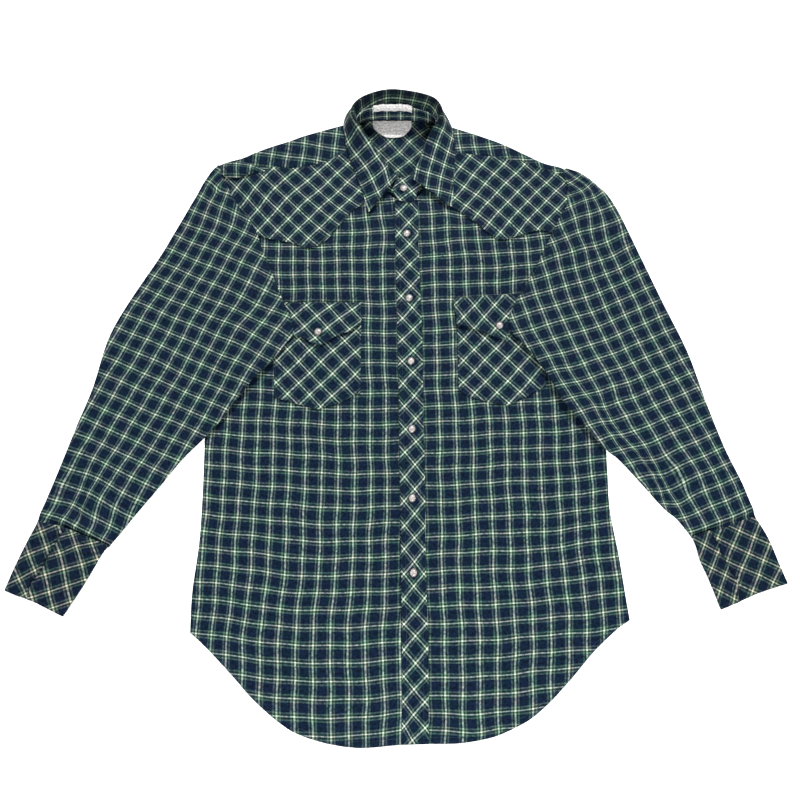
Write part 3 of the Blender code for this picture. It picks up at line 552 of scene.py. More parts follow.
LINING_PINS = [
    (-11, 360, -1, 0), (3, 343, 0, 0), (17, 329, 1, 0), (17, 360, 0, 1), (33, 372, 0, 2),
    (0, 315, 1, -1),
]
SHOULDER_PINS = {
    "right": [(-187, 340, 0.5, 0), (-103, 326, 4.4, 0), (-87, 369, 5, 1.9)],
    "left": [(187, 330, -0.5, 0), (103, 340, -4.4, 0.6), (87, 369, -5, 1.9)],
}
CUFF_PINS = {
    "right": dict(
        over=[
            (-405, -213, 0, 1), (-386, -205, 1, 1), (-392, -251, 0, -1), (-393, -190, 1, 2),
            (-368, -201, 2, 1), (-377, -226, 1, 0), (-359, -220, 2, 0), (-419, -238, -1, 0),
            (-412, -258, -1, -1), (-405, -276, -1, -2), (-431, -264, -2, -1), (-371, -244, 1, -1),
        ],
        under=[
            (-443, -214, 0, 0), (-423, -206, 1, 0), (-432, -187, 1, 1), (-451, -243, -1, -1),
            (-433, -233, 0, -1), (-440, -260, -1, -2),
        ],
    ),
    "left": dict(
        over=[
            (371, -203, -3, -1), (386, -212, -2, -1), (377, -230.5, -2, -2),
            (392, -238.5, -1, -2), (405, -247, 0, -2), (383, -257, -1, -3), (399, -266, 0, -3),
        ],
        under=[
            (416, -186, -1, 1), (433, -194, 0, 1), (451, -202, 1, 1), (388, -195, -2, 0),
            (406, -204, -1, 0), (424, -213, 0, 0), (441, -221, 1, 0), (460, -230, 2, 0),
            (396, -222, -1, -1), (414, -230, 0, -1), (433, -238, 1, -1), (449, -246.5, 2, -1),
            (423, -257, 1, -2),
        ],
    ),
}
TUCK_PINS = [
    (-239, 320, -0.8, 0), (-225, 320.5, 0, 0), (-204.5, 318, 1, 0), (-194, 315, 1.5, 0),
    (-182, 309, 2.2, 0), (-223, 300.5, 0, -0.95), (-206, 301, 1, -0.9),
]
# On the collar leaf, outside its fold: x, y, line across, line along
LEAF_PINS = {
    "right": [
        (-65, 387, 0, -3), (-54, 363, 0, -4), (-68, 352, 1, -4), (-29, 324, 0, -6),
        (-44, 313, 1, -6), (-18, 308, 0, -7), (-12, 288, 0, -8), (-27, 276, 1, -8),
        (-44, 266, 2, -8), (-38, 246, 2, -9),
    ],
    "left": [
        (62, 363, 0, 6), (48, 321, 0, 8), (72, 336, 1, 7), (42, 302, 0, 9), (39, 278, 0, 10),
        (62, 297, 1, 9), (57, 277, 1, 10), (77.3, 272.5, 2, 10), (74, 253.5, 2, 11),
    ],
}
# On the back of the collar: x of the lines that cross it, and their number
BACK_LINES = [(-14, 0), (5, 1), (25, 2), (43, 3)]

# The plaid's stripes: how far each reaches from the white line's middle, in checks
SETT = [("white", 0.045), ("green", 0.145), ("slate", 0.235), ("navy", 0.5)]
THREADS = {"white": (198, 210, 193), "green": (31, 54, 40), "slate": (90, 112, 98),
           "navy": (10, 29, 48)}
BIAS_WHITE = (220, 231, 214)    # crisper on the pieces that were cut on the bias
CUFF_WHITE = (212, 215, 194)
# Mottling of the darker threads: noise (scale, detail, roughness), colours by its level
MOTTLING = [
    ((1.1, 3.0, 0.5), [(0.38, (255, 222, 252)), (0.62, (214, 246, 238))]),
    ((6.0, 4.0, 0.6), [(0.36, (88, 94, 100)), (0.58, (255, 255, 255))]),
]
WHITE = (255, 255, 255)
# Makes the cuffs' threads a little dimmer and pinker all over
CUFF_TINT = (250, 240, 240)
LEAF_PAINTED_SHADE = (156, 166, 158)     # painted shade darkening the collar's back fold, where it turns from the light
LEAF_SHADE_HEIGHT = 34.0
SHADE_START = 0.64               # where the painted shade begins, of that height


# ------------------------ curves and grids
def between(a, b, share):
    """The point at a share of the way from a to b."""
    return tuple(p + (q - p) * share for p, q in zip(a, b))


def catmull(p0, p1, p2, p3, t):
    """Point at t on the smooth curve from p1 to p2."""
    return tuple(0.5 * (2 * b + (c - a) * t + (2 * a - 5 * b + 4 * c - d) * t * t
                        + (3 * b - a - 3 * c + d) * t ** 3)
                 for a, b, c, d in zip(p0, p1, p2, p3))


def smooth_line(points, steps=8):
    """The points with a smooth curve drawn through them."""
    ends = [points[0], *points, points[-1]]
    line = [catmull(*ends[i:i + 4], k / steps)
            for i in range(len(points) - 1) for k in range(steps)]
    return line + [tuple(points[-1])]


def running(points):
    """Length along a line at each of its points."""
    p = np.array(points, float)
    return np.concatenate([[0.0], np.cumsum(np.linalg.norm(np.diff(p, axis=0), axis=1))])


def along(points, smooth=True):
    """A function that gives the point at a share of the line's length."""
    line = smooth_line(points) if smooth and len(points) > 2 else list(points)
    marks = running(line).tolist()

    def at(share):
        want = min(max(share, 0.0), 1.0) * marks[-1]
        i = min(max(int(np.searchsorted(marks, want)), 1), len(marks) - 1)
        return between(line[i - 1], line[i], (want - marks[i - 1]) / (marks[i] - marks[i - 1]))
    return at


def even(count):
    """Shares from 0 to 1 in equal steps."""
    return [i / count for i in range(count + 1)]


def cells(length, cell, edge=(0.9, 2.6)):
    """Shares along a length in equal cells, with narrow ones at both ends."""
    inner = max(int(round((length - 2 * edge[-1]) / cell)), 1)
    first = [0.0] + [step / length for step in edge]
    middle = [edge[-1] / length + (1 - 2 * edge[-1] / length) * k / inner
              for k in range(1, inner)]
    return first + middle + [1 - share for share in reversed(first)]


def patch(top, bottom, left, right, columns, rows, smooth=True):
    """Rows of plan points between four seam lines; left and right leave out the corners."""
    sides = (top, bottom, [top[0], *left, bottom[0]], [top[-1], *right, bottom[-1]])
    above, below, start, end = (along(line, smooth) for line in sides)
    tops, bottoms = [above(u) for u in columns], [below(u) for u in columns]
    c0, c1, c2, c3 = above(0), above(1), below(0), below(1)
    grid = []
    for v in rows:
        l, r = start(v), end(v)
        grid.append([tuple(
            (1 - v) * t[k] + v * b[k] + (1 - u) * l[k] + u * r[k]
            - (1 - u) * ((1 - v) * c0[k] + v * c2[k]) - u * ((1 - v) * c1[k] + v * c3[k])
            for k in (0, 1)) for u, t, b in zip(columns, tops, bottoms)])
    return grid


def piece_plan(size, top, bottom, left, right, smooth=True):
    """The patch of a piece whose mesh size is in MESH_SIZES."""
    width, height, cell = MESH_SIZES[size]
    return patch(top, bottom, left, right, cells(width, cell), cells(height, cell), smooth)


def lift(grid, height):
    """The plan points with their height."""
    return [[(x, y, height(x, y)) for x, y in row] for row in grid]


def turned(columns):
    """Columns of points as rows."""
    return [list(row) for row in zip(*columns)]


def ease(value):
    """0 below 0, 1 above 1 and smooth between."""
    value = min(max(value, 0.0), 1.0)
    return value * value * (3 - 2 * value)


def bell(away):
    """1 at 0, falling smoothly on both sides."""
    return math.exp(-away * away)


def from_edge(grid, edge):
    """A view of the grid whose first row lies on the named edge."""
    view = grid if edge in ("top", "bottom") else grid.swapaxes(0, 1)
    return view[::-1] if edge in ("bottom", "right") else view


def stand_off(grid, edges, rise, reach):
    """The grid with some edges lifted off what lies below them."""
    p = np.array(grid, float)
    for edge in edges:
        lines = from_edge(p, edge)
        steps = np.linalg.norm(np.diff(lines[..., :2], axis=0), axis=2)
        away = np.concatenate([np.zeros((1, lines.shape[1])), np.cumsum(steps, axis=0)])
        lines[..., 2] += rise * np.exp(-(away / reach) ** 2)
    return p.tolist()


def inset_line(grid, edge, inset, count, start=0.0, stop=1.0):
    """A line on the grid at a distance in mm from one of its edges."""
    lines = from_edge(np.array(grid, float), edge)
    last = lines.shape[1] - 1
    points = []
    for share in np.linspace(start, stop, count + 1):
        c = min(int(share * last), last - 1)
        column = lines[:, c] + (lines[:, c + 1] - lines[:, c]) * (share * last - c)
        run = running(column)
        points.append([float(np.interp(inset, run, column[:, axis])) for axis in range(3)])
    return points


# ------------------------ heights of the layers
def edge_x(side, y):
    """x of a side seam at a given y."""
    ys, xs = zip(*sorted((point[1], point[0]) for point in side))
    return float(np.interp(y, ys, xs))


def depth(x, y):
    """How far a place lies inside the side seams; below 0 it is beside the body."""
    return min(x - edge_x(RIGHT_SIDE, y), edge_x(LEFT_SIDE, y) - x)


def creased(x, y, creases):
    """Height that the creases add at a place."""
    total = 0.0
    for x0, y0, x1, y1, half_width, height in creases:
        dx, dy = x1 - x0, y1 - y0
        t = ((x - x0) * dx + (y - y0) * dy) / (dx * dx + dy * dy)
        t = min(max(t, 0.0), 1.0)
        away = math.hypot(x - x0 - t * dx, y - y0 - t * dy) / half_width
        if away < 3:
            total += height * bell(away) * ease(t * 4) * ease((1 - t) * 4)
    return total


def unevenness(x, y):
    """Small soft waves of cloth that was laid out by hand."""
    return (0.22 * math.sin(x / 17.0 + 1.3 * math.sin(y / 61.0))
            + 0.18 * math.sin(y / 23.0 + 1.7 * math.sin(x / 47.0) + 0.8)
            + 0.12 * math.sin((x + y) / 11.0 + math.sin(y / 37.0)))


def under_front_top(x, y):
    """Top of the wearer's right front, and of the left front away from the lap."""
    rise = FRONT_FILL + unevenness(x, y) + creased(x, y, BODY_CREASES)
    for cx, cy, half_x, half_y, height in SWELLS:
        rise += height * ease(1 - math.hypot((x - cx) / half_x, (y - cy) / half_y))
    return FRONT_REST + rise * ease(depth(x, y) / SIDE_FADE)


def upper_front_top(x, y):
    """Top of the wearer's left front, which lies on the right one at the placket."""
    beyond = x - edge_x(UNDERLAP_EDGE, y) - LAP_CLEAR
    return under_front_top(x, y) + LAYER * (1 - ease(beyond / LAP_RAMP))


def on_front(side, layers):
    """Height of a piece that lies so many layers above the front of that side."""
    base = upper_front_top if side == "left" else under_front_top
    return lambda x, y: base(x, y) + layers * LAYER


def layers_on_front(x, y):
    """Pieces of cloth that a sleeve meets on the front: the yoke, or pocket and flap."""
    yoke = ease((y - YOKE_RAMP[0]) / YOKE_RAMP[1])
    pocket = ease(depth(x, y) / POCKET_FADE) * ease((POCKET_RAMP[0] - y) / POCKET_RAMP[1])
    return yoke + POCKET_LAYERS * pocket


def sleeve_floor(x, y):
    """Underside of a sleeve: on the surface, or on the front where it crosses it."""
    near, far = BODY_RAMP
    on_body = 1 - ease((-depth(x, y) - near) / (far - near))
    return on_body * (under_front_top(x, y) + GAP + LAYER * layers_on_front(x, y))


# ------------------------ plaid maps
def thin_plate(pins):
    """A smooth map from the plane to counts of checks that meets every pin."""
    pins = np.array(pins, float)
    places, counts = pins[:, :2], pins[:, 2:]

    def basis(points):
        away = np.hypot(points[:, None, 0] - places[None, :, 0],
                        points[:, None, 1] - places[None, :, 1])
        bend = away ** 2 * np.log(np.maximum(away, 1e-9))
        return np.hstack([bend, np.ones((len(points), 1)), points])

    left = basis(places)
    flat = left[:, len(places):]
    system = np.vstack([left, np.hstack([flat.T, np.zeros((3, 3))])])
    wanted = np.vstack([counts, np.zeros((3, 2))])
    weights = np.linalg.lstsq(system, wanted, rcond=None)[0]
    return lambda points: basis(np.array(points, float)) @ weights


def wobble(points):
    """Small shifts of the checks, in checks, where the cloth isn't quite straight."""
    x, y = points[:, 0], points[:, 1]
    across = 0.030 * np.sin(y / 19.0 + 2.0 * np.sin(x / 70.0)) + 0.018 * np.sin(y / 8.5 + x / 31.0)
    down = 0.030 * np.sin(x / 21.0 + 2.0 * np.sin(y / 66.0)) + 0.018 * np.sin(x / 9.0 + y / 27.0)
    return np.stack([across, down], axis=1)


def pinned(grid, pins, share=1.0):
    """The plaid map of a grid of points, with a share of the wobble."""
    flat = np.array([point[:2] for row in grid for point in row], float)
    counts = thin_plate(pins)(flat) + share * wobble(flat)
    return counts.reshape(len(grid), len(grid[0]), 2)


def straight(grid):
    """The plaid map of cloth that lies straight."""
    return [[(point[0] / CHECK, point[1] / CHECK) for point in row] for row in grid]


# ------------------------ material nodes
def linear(colour):
    """sRGB 0..255 as linear RGBA."""
    shares = [value / 255 for value in colour]
    return tuple(s / 12.92 if s <= 0.04045 else ((s + 0.055) / 1.055) ** 2.4
                 for s in shares) + (1.0,)


def add_node(tree, kind, inputs=(), **settings):
    """A node with its settings and inputs; an input is a value or another output."""
    made = tree.nodes.new(kind)
    for name, value in settings.items():
        setattr(made, name, value)
    for key, value in dict(inputs).items():
        if isinstance(value, bpy.types.NodeSocket):
            tree.links.new(value, made.inputs[key])
        else:
            made.inputs[key].default_value = value
    return made


def maths(tree, operation, *values):
    return add_node(tree, "ShaderNodeMath", dict(enumerate(values)),
                    operation=operation).outputs[0]


def waves(tree, coordinate, per_check):
    """A sine wave that repeats so many times in a check."""
    return maths(tree, "SINE", maths(tree, "MULTIPLY", coordinate, 2 * math.pi * per_check))


def noise(tree, place, scale, detail=3.0, roughness=0.5):
    return add_node(tree, "ShaderNodeTexNoise", {"Vector": place, "Scale": scale, "Detail": detail,
                                                 "Roughness": roughness}).outputs[0]


def blend(tree, mode, factor, first, second):
    made = add_node(tree, "ShaderNodeMix", {0: factor, 6: first, 7: second},
                    data_type="RGBA", blend_type=mode)
    return made.outputs[2]


def ramp(tree, value, stops):
    """A colour ramp from (position, colour) stops."""
    made = add_node(tree, "ShaderNodeValToRGB", {0: value})
    elements = made.color_ramp.elements
    while len(elements) < len(stops):
        elements.new(1.0)
    for element, (position, colour) in zip(elements, stops):
        element.position = position
        element.color = colour
    return made.outputs[0]


def bump(tree, height, strength, depth_mm, **under):
    """Relief in the normal, on top of another normal if one is given."""
    return add_node(tree, "ShaderNodeBump", {"Height": height, "Strength": strength,
                                             "Distance": depth_mm * MM, **under}).outputs[0]


def cloth_map(tree):
    """The plaid map, and its two directions."""
    place = add_node(tree, "ShaderNodeUVMap", uv_map="Cloth").outputs[0]
    return place, add_node(tree, "ShaderNodeSeparateXYZ", {0: place}).outputs


def new_material(name, values):
    """A material with values on its shader's sockets, its tree, and how to link to them."""
    made = bpy.data.materials.new(name)
    made.use_nodes = True
    tree = made.node_tree
    sockets = tree.nodes["Principled BSDF"].inputs
    for socket, value in values.items():
        sockets[socket].default_value = value
    return made, tree, lambda output, socket: tree.links.new(output, sockets[socket])


def stripe_stops(white_share, white):
    """Ramp stops of the sett over the distance from a white line, in half checks.

    Threads mix by the root of their light, since a bright one sinks between dark ones.
    """
    stops = []
    inner = 0.0
    for name, reach in SETT:
        reach = reach * (white_share if name == "white" else 1.0)
        thread = white if name == "white" else THREADS[name]
        colour = tuple(math.sqrt(value) for value in linear(thread))
        stops.append((inner + (STRIPE_SOFT if inner else 0.0), colour))
        stops.append((min(2 * reach - STRIPE_SOFT, 1.0), colour))
        inner = 2 * reach
    return stops


def stripes(tree, coordinate, white_share, white):
    """Thread colour across one direction of the plaid."""
    wrapped = maths(tree, "FRACT", maths(tree, "ADD", coordinate, 0.5))
    away = maths(tree, "ABSOLUTE", maths(tree, "SUBTRACT", wrapped, 0.5))
    return ramp(tree, maths(tree, "MULTIPLY", away, 2.0), stripe_stops(white_share, white))


def plaid_material(name, white, tint_and_painted_shade=WHITE, painted_shade_height=None):
    """Woven plaid: warp and weft stripes, threads, a little mottling and sheen.

    A colour tints it all over; given a height in mm, that colour is painted shade instead, growing
    towards that height.
    """
    made, tree, link = new_material(name, {"Roughness": 0.82, "Specular IOR Level": 0.06,
                                           "Sheen Weight": 0.02, "Sheen Roughness": 0.45})
    place, (across, down, _) = cloth_map(tree)
    warp = stripes(tree, across, 1.15, white)
    weft = stripes(tree, down, 0.85, white)
    weave = maths(tree, "MULTIPLY", waves(tree, across, THREAD_COUNT),
                  waves(tree, down, THREAD_COUNT))
    loose = maths(tree, "MULTIPLY_ADD", noise(tree, place, 5.0), 1.1, -0.05)
    mixed = blend(tree, "MIX", maths(tree, "MULTIPLY_ADD", weave, 0.2, loose), warp, weft)
    colour = blend(tree, "MULTIPLY", 1.0, mixed, mixed)
    light = add_node(tree, "ShaderNodeRGBToBW", {0: mixed}).outputs[0]
    darkness = maths(tree, "SUBTRACT", 0.95, light)
    for (scale, detail, roughness), stops in MOTTLING:
        tint = ramp(tree, noise(tree, place, scale, detail, roughness),
                    [(position, linear(shade)) for position, shade in stops])
        colour = blend(tree, "MULTIPLY", darkness, colour, tint)
    tint_and_shade = linear(tint_and_painted_shade)
    # Painted shade: the higher the cloth lies, the darker it is made, for the collar's fold turned
    # from the light
    if painted_shade_height:
        spot = add_node(tree, "ShaderNodeTexCoord").outputs["Object"]
        rise = add_node(tree, "ShaderNodeSeparateXYZ", {0: spot}).outputs[2]
        share = maths(tree, "DIVIDE", rise, painted_shade_height * MM)
        tint_and_shade = ramp(tree, share, [(SHADE_START, linear(WHITE)), (1.0, tint_and_shade)])
    link(blend(tree, "MULTIPLY", 1.0, colour, tint_and_shade), "Base Color")
    crumple = bump(tree, noise(tree, place, 1.3, roughness=0.45), 0.5, 1.6)
    link(bump(tree, weave, 0.25, 0.08, Normal=crumple), "Normal")
    return made


def simple_material(name, colour, roughness, scale, depth_mm=0.0, mix=0.12, **more):
    """A plain finish with a fine grain: its scale per metre, depth in mm and dark share."""
    made, tree, link = new_material(name, {"Roughness": roughness, **more})
    grain = noise(tree, add_node(tree, "ShaderNodeTexCoord").outputs["Object"], scale)
    dark = tuple(value * (1 - mix) for value in linear(colour)[:3]) + (1.0,)
    link(ramp(tree, grain, [(0.35, dark), (0.65, linear(colour))]), "Base Color")
    link(bump(tree, grain, 0.4, depth_mm), "Normal")
    return made


def label_material():
    """Off-white woven satin with fine ribs."""
    made, tree, link = new_material("label_satin", {"Roughness": 0.5, "Sheen Weight": 0.1})
    place, (_, down, _) = cloth_map(tree)
    rib = waves(tree, down, 8)
    base = ramp(tree, noise(tree, place, 7.0), [(0.38, linear((186, 182, 184))),
                                                (0.6, linear((240, 238, 234)))])
    line = maths(tree, "MULTIPLY", maths(tree, "MULTIPLY_ADD", rib, 0.5, 0.5), 0.45)
    link(blend(tree, "MULTIPLY", line, base, linear((120, 124, 130))), "Base Color")
    link(bump(tree, rib, 0.3, 0.1), "Normal")
    return made


PLAID = plaid_material("plaid_cloth_straight", THREADS["white"])
BIAS = plaid_material("plaid_cloth_bias", BIAS_WHITE)
CUFF = plaid_material("plaid_cloth_cuff", CUFF_WHITE, CUFF_TINT)
# The collar's cloth carries painted shade on its back fold
LEAF = plaid_material("plaid_cloth_collar", BIAS_WHITE, LEAF_PAINTED_SHADE, LEAF_SHADE_HEIGHT)
LABEL = label_material()
THREAD = simple_material("sewing_thread", (26, 42, 52), 0.6, 900, 0.02)
PEARL = simple_material("pearl_cap", (188, 182, 178), 0.2, 520, 0.05, 0.65,
                        **{"Coat Weight": 0.5})
METAL = simple_material("snap_ring", (96, 94, 96), 0.34, 1500, 0.01, Metallic=1.0)


# ------------------------ meshes
def add_object(name, vertices, faces, *materials):
    """A smooth mesh object; the vertices are in millimetres."""
    mesh = bpy.data.meshes.new(name)
    mesh.from_pydata([tuple(p) for p in np.array(vertices, float) * MM], [], faces)
    mesh.polygons.foreach_set("use_smooth", [True] * len(mesh.polygons))
    for material in materials:
        mesh.materials.append(material)
    made = bpy.data.objects.new(name, mesh)
    bpy.context.scene.collection.objects.link(made)
    return made


def finish_piece(made, slot_name, nodes=()):
    """The piece rides on the part and stands for its CAD nodes."""
    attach(made, "root")
    if nodes:
        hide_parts(*nodes)


def grid_normals(points):
    """Upward normals of a grid of points (rows, columns, 3)."""
    normal = np.cross(np.gradient(points, axis=1), -np.gradient(points, axis=0))
    return normal / np.maximum(np.linalg.norm(normal, axis=2, keepdims=True), 1e-12)


def shell(name, grid, uv, surface, wall):
    """Cloth with its face on the grid and its back a wall below, with rounded edges."""
    top = np.array(grid, float)
    normal = grid_normals(top)
    under = top - normal * wall
    middle = (top + under) / 2
    rows, count = top.shape[:2]
    size = rows * count
    faces = []
    for a in (r * count + c for r in range(rows - 1) for c in range(count - 1)):
        quad = (a, a + count, a + count + 1, a + 1)
        faces += [quad, tuple(size + k for k in reversed(quad))]
    ring = ([(0, c) for c in range(count)] + [(r, count - 1) for r in range(1, rows)]
            + [(rows - 1, c) for c in range(count - 2, -1, -1)]
            + [(r, 0) for r in range(rows - 2, 0, -1)])
    rim = []
    for k, (r, c) in enumerate(ring):
        outward = top[r, c] - top[min(max(r, 1), rows - 2), min(max(c, 1), count - 2)]
        outward -= normal[r, c] * outward.dot(normal[r, c])
        length = max(np.linalg.norm(outward), 1e-9)
        rim.append(middle[r, c] + outward / length * wall * RIM_BULGE)
        j = (k + 1) % len(ring)
        a, b = r * count + c, ring[j][0] * count + ring[j][1]
        faces += [(a, b, 2 * size + j, 2 * size + k),
                  (2 * size + k, 2 * size + j, size + b, size + a)]
    made = add_object(name, [*top.reshape(-1, 3), *under.reshape(-1, 3), *rim], faces, surface)
    mesh = made.data
    flat = np.array(uv, float).reshape(-1, 2)
    per_vertex = np.concatenate([flat, flat, [flat[r * count + c] for r, c in ring]])
    loops = np.empty(len(mesh.loops), dtype=np.int32)
    mesh.loops.foreach_get("vertex_index", loops)
    mesh.uv_layers.new(name="Cloth").data.foreach_set("uv", per_vertex[loops].ravel())
    mesh.validate()
    mesh.update()
    return made


def surface_area(grid):
    """Area of a grid's surface in square metres, and its longest row and column."""
    p = np.array(grid, float) * MM
    diagonal_a, diagonal_b = p[1:, 1:] - p[:-1, :-1], p[1:, :-1] - p[:-1, 1:]
    area = 0.5 * np.linalg.norm(np.cross(diagonal_a, diagonal_b), axis=2).sum()
    across = np.linalg.norm(np.diff(p, axis=1), axis=2).sum(axis=1).max()
    down = np.linalg.norm(np.diff(p, axis=0), axis=2).sum(axis=0).max()
    return area, across, down


def cloth(name, grid, uv, nodes=None, held="laid", rests_on=(), surface=PLAID,
          slot_name="plaid_cloth", wall=SHELL):
    """A cloth shell that replaces its CAD nodes."""
    made = shell(name, grid, uv, surface, wall)
    finish_piece(made, slot_name, [name] if nodes is None else nodes)
    area, across, down = surface_area(grid)
    list(rests_on)


class Stitches:
    """Rows of short thread stitches, gathered into one mesh."""
    LENGTH, PITCH, WIDTH, RISE, SIDES = 1.9, 2.7, 0.34, 0.16, 6
    RINGS = ((0.0, 0.35), (0.25, 1.0), (0.75, 1.0), (1.0, 0.35))    # share of the length, size

    def __init__(self):
        self.vertices, self.faces = [], []

    def sew(self, grid, edges, inset, *span):
        """Stitches on the cloth's face, at a distance in mm inside some of its edges."""
        for edge in edges:
            points = inset_line(grid, edge, inset, *span)
            line, total = along(points, False), running(points)[-1]
            for k in range(int(total / self.PITCH)):
                start = k * self.PITCH / total
                self.stitch(np.array(line(start)), np.array(line(start + self.LENGTH / total)))

    def stitch(self, start, end):
        run = end - start
        length = np.linalg.norm(run)
        if length < 0.3:
            return
        run /= length
        side = np.cross(run, (0, 0, 1.0))
        side /= max(np.linalg.norm(side), 1e-9)
        up = np.cross(side, run)
        first, sides = len(self.vertices), self.SIDES
        for share, size in self.RINGS:
            centre = start + run * length * share + up * self.RISE * (size - 0.6)
            for angle in (2 * math.pi * turn / sides for turn in range(sides)):
                offset = side * math.cos(angle) + up * math.sin(angle)
                self.vertices.append(tuple(centre + offset * self.WIDTH / 2 * size))
        for ring in range(len(self.RINGS) - 1):
            for turn in range(sides):
                a, b = (first + ring * sides + k for k in (turn, (turn + 1) % sides))
                self.faces.append((a, b, b + sides, a + sides))
        self.faces.append(tuple(range(first + sides - 1, first - 1, -1)))
        self.faces.append(tuple(range(len(self.vertices) - sides, len(self.vertices))))


SEWING = Stitches()


def laid_piece(name, plan, height, pins, rests_on, surface=BIAS, lifted=(), seams=()):
    """Cloth laid on another piece, with its lifted edges and its rows of stitches.

    lifted: edges, rise, reach; seams: edges, inset, steps along.
    """
    grid = lift(plan, height)
    for edges, rise, reach in lifted:
        grid = stand_off(grid, edges, rise, reach)
    cloth(name, grid, pinned(plan, pins), rests_on=[rests_on], surface=surface)
    for edges, inset, steps in seams:
        SEWING.sew(grid, edges, inset, steps)


# ------------------------ body
def make_back():
    """The back, flat on the surface, from the yoke seam to the hem."""
    top = [(x, y - GAP) for x, y in BACK_YOKE_SEAM]
    right, left = ([point for point in side if point[1] < BACK_YOKE_SEAM[0][1] - 5]
                   for side in (RIGHT_SIDE, LEFT_SIDE))
    hem = [(x, y + BACK_HEM_RISE) for x, y in RIGHT_HEM[1:-1] + LEFT_HEM[1:-1]]
    plan = piece_plan("back", top, [RIGHT_HEM[0], *hem, LEFT_HEM[-1]], right[:-1], left[:-1])
    cloth("back", lift(plan, lambda x, y: SHELL), straight(plan))


def shoulder_column(start, end, height):
    """Places from the shoulder fold over the top to the front seam."""
    run = math.dist(start, end)
    flat_from = FOLD_RADIUS * FOLD_SQUASH
    column = []
    for angle in (math.pi * (step / 6 - 0.5) for step in range(7)):
        place = between(start, end, flat_from * (1 - math.cos(angle)) / run)
        column.append((*place, FOLD_RADIUS * (1 + math.sin(angle))))
    for part in even(10)[1:]:
        x, y = between(start, end, (flat_from + part * (run - flat_from)) / run)
        column.append((x, y, max(height(x, y), 2 * FOLD_RADIUS)))
    return column


def make_back_yoke():
    """The back yoke: flat under the neck, and rolled over each shoulder to the front."""
    folds = [along(line + [end[0]]) for line, end in zip((RIGHT_SHOULDER, LEFT_SHOULDER),
                                                         SHOULDER_ENDS)]
    seams = [along(line + [end[1]]) for line, end in zip((RIGHT_YOKE_SEAM, LEFT_YOKE_SEAM),
                                                         SHOULDER_ENDS)]
    top = [folds[0](1 - share) for share in even(40)]
    top += [along(BACK_NECK)(share) for share in even(28)[1:-1]]
    top += [folds[1](share) for share in even(40)]
    lengths = running(top)
    bottom = along(BACK_YOKE_SEAM, False)
    rows = []
    for part in even(14):
        row = []
        for place, length in zip(top, lengths):
            x, y = between(bottom(length / lengths[-1]), place, 1 - part)
            reach = NECK_REACH * ease((75 - abs(x)) / 12) - SHOULDER_INSET
            row.append((x, y + reach * (1 - part), SHELL))
        rows.append(row)
    cloth("back_yoke_flat", rows, straight(rows), ["back_yoke"])
    for side, fold, seam in zip(("right", "left"), folds, seams):
        shares = cells(SHOULDER_LENGTH, 4)
        columns = [shoulder_column(fold(share), seam(share), on_front(side, 1))
                   for share in (reversed(shares) if side == "right" else shares)]
        grid = turned(columns)
        cloth("shoulder_" + side, grid, pinned(grid, SHOULDER_PINS[side]), [], held="folded",
              rests_on=["front_" + side])


def make_tuck():
    """A roll of the back yoke's end that lies over the wearer's right sleeve head."""
    across, down = 30, 12
    plan = patch(TUCK_TOP, TUCK_BOTTOM, [], [], even(across), even(down))
    grid = []
    for level, row in enumerate(plan):
        roll = TUCK_ROLL * math.sin(math.pi * (0.06 + 0.88 * level / down))
        grid.append([(x, y, TUCK_HEIGHT - TUCK_SINK * ease((k - 16) / 14)
                      + roll * math.sin(math.pi * (0.1 + 0.85 * k / across)) ** 0.5)
                     for k, (x, y) in enumerate(row)])
    cloth("shoulder_tuck", grid, pinned(plan, TUCK_PINS), [], held="folded",
          rests_on=["sleeve_right"])


def make_yoke_lining():
    """The yoke's inner layer, as far as it shows inside the neck."""
    laid_piece("yoke_lining", piece_plan("yoke_lining", **LINING),
               lambda x, y: SOLID_WALL + LAYER + 0.5 * unevenness(2 * x, 2 * y),
               LINING_PINS, "back_yoke_flat", PLAID)


def seam_allowance(seam, fold):
    """The front's shoulder edge, past the seam, under the back yoke's edge."""
    to_seam, to_fold = along(seam), along(fold)
    return [between(to_seam(share), to_fold(share), 0.2) for share in even(8)]


def make_fronts():
    """Both fronts, from the shoulder seams to the hem; the left laps over the right."""
    top = [RIGHT_SIDE[0], *reversed(seam_allowance(RIGHT_YOKE_SEAM, RIGHT_SHOULDER))]
    right = piece_plan("front", top, RIGHT_HEM, RIGHT_SIDE[1:-1],
                       RIGHT_NECK[1:] + UNDERLAP_EDGE[:-1])
    top = seam_allowance(LEFT_YOKE_SEAM, LEFT_SHOULDER) + [LEFT_SIDE[0]]
    left = piece_plan("front", top, LEFT_HEM, LEFT_NECK[1:] + CENTRE_EDGE[1:-1], LEFT_SIDE[1:-1])
    for side, plan in (("right", right), ("left", left)):
        laid_piece("front_" + side, plan, on_front(side, 0), FRONT_PINS[side], "back", PLAID,
                   seams=[(["bottom"], HEM_INSET, 120)])


def make_front_yokes():
    """Pointed front yokes on top of the fronts."""
    above = [(x, y - GAP) for x, y in reversed(RIGHT_YOKE_SEAM)]
    outward = [(x - 3, y - 1) for x, y in RIGHT_ARMHOLE[:4]]
    right = piece_plan("yoke_right", above, RIGHT_YOKE_POINT, outward, RIGHT_NECK[1:4])
    above = [(x, y - GAP) for x, y in LEFT_YOKE_SEAM]
    outward = [(x + 3, y - 1) for x, y in LEFT_ARMHOLE[:4]]
    left = piece_plan("yoke_left", above, LEFT_YOKE_POINT[::-1], LEFT_NECK[1:3], outward)
    for side, plan in (("right", right), ("left", left)):
        laid_piece("front_yoke_" + side, plan, on_front(side, 1), YOKE_PINS[side],
                   "front_" + side, lifted=[(["bottom"], 0.8, 4.0)],
                   seams=[(["bottom"], EDGE_INSET, 80), (["bottom"], YOKE_SECOND_INSET, 80),
                          (["top"], YOKE_TOP_INSET, 80)])


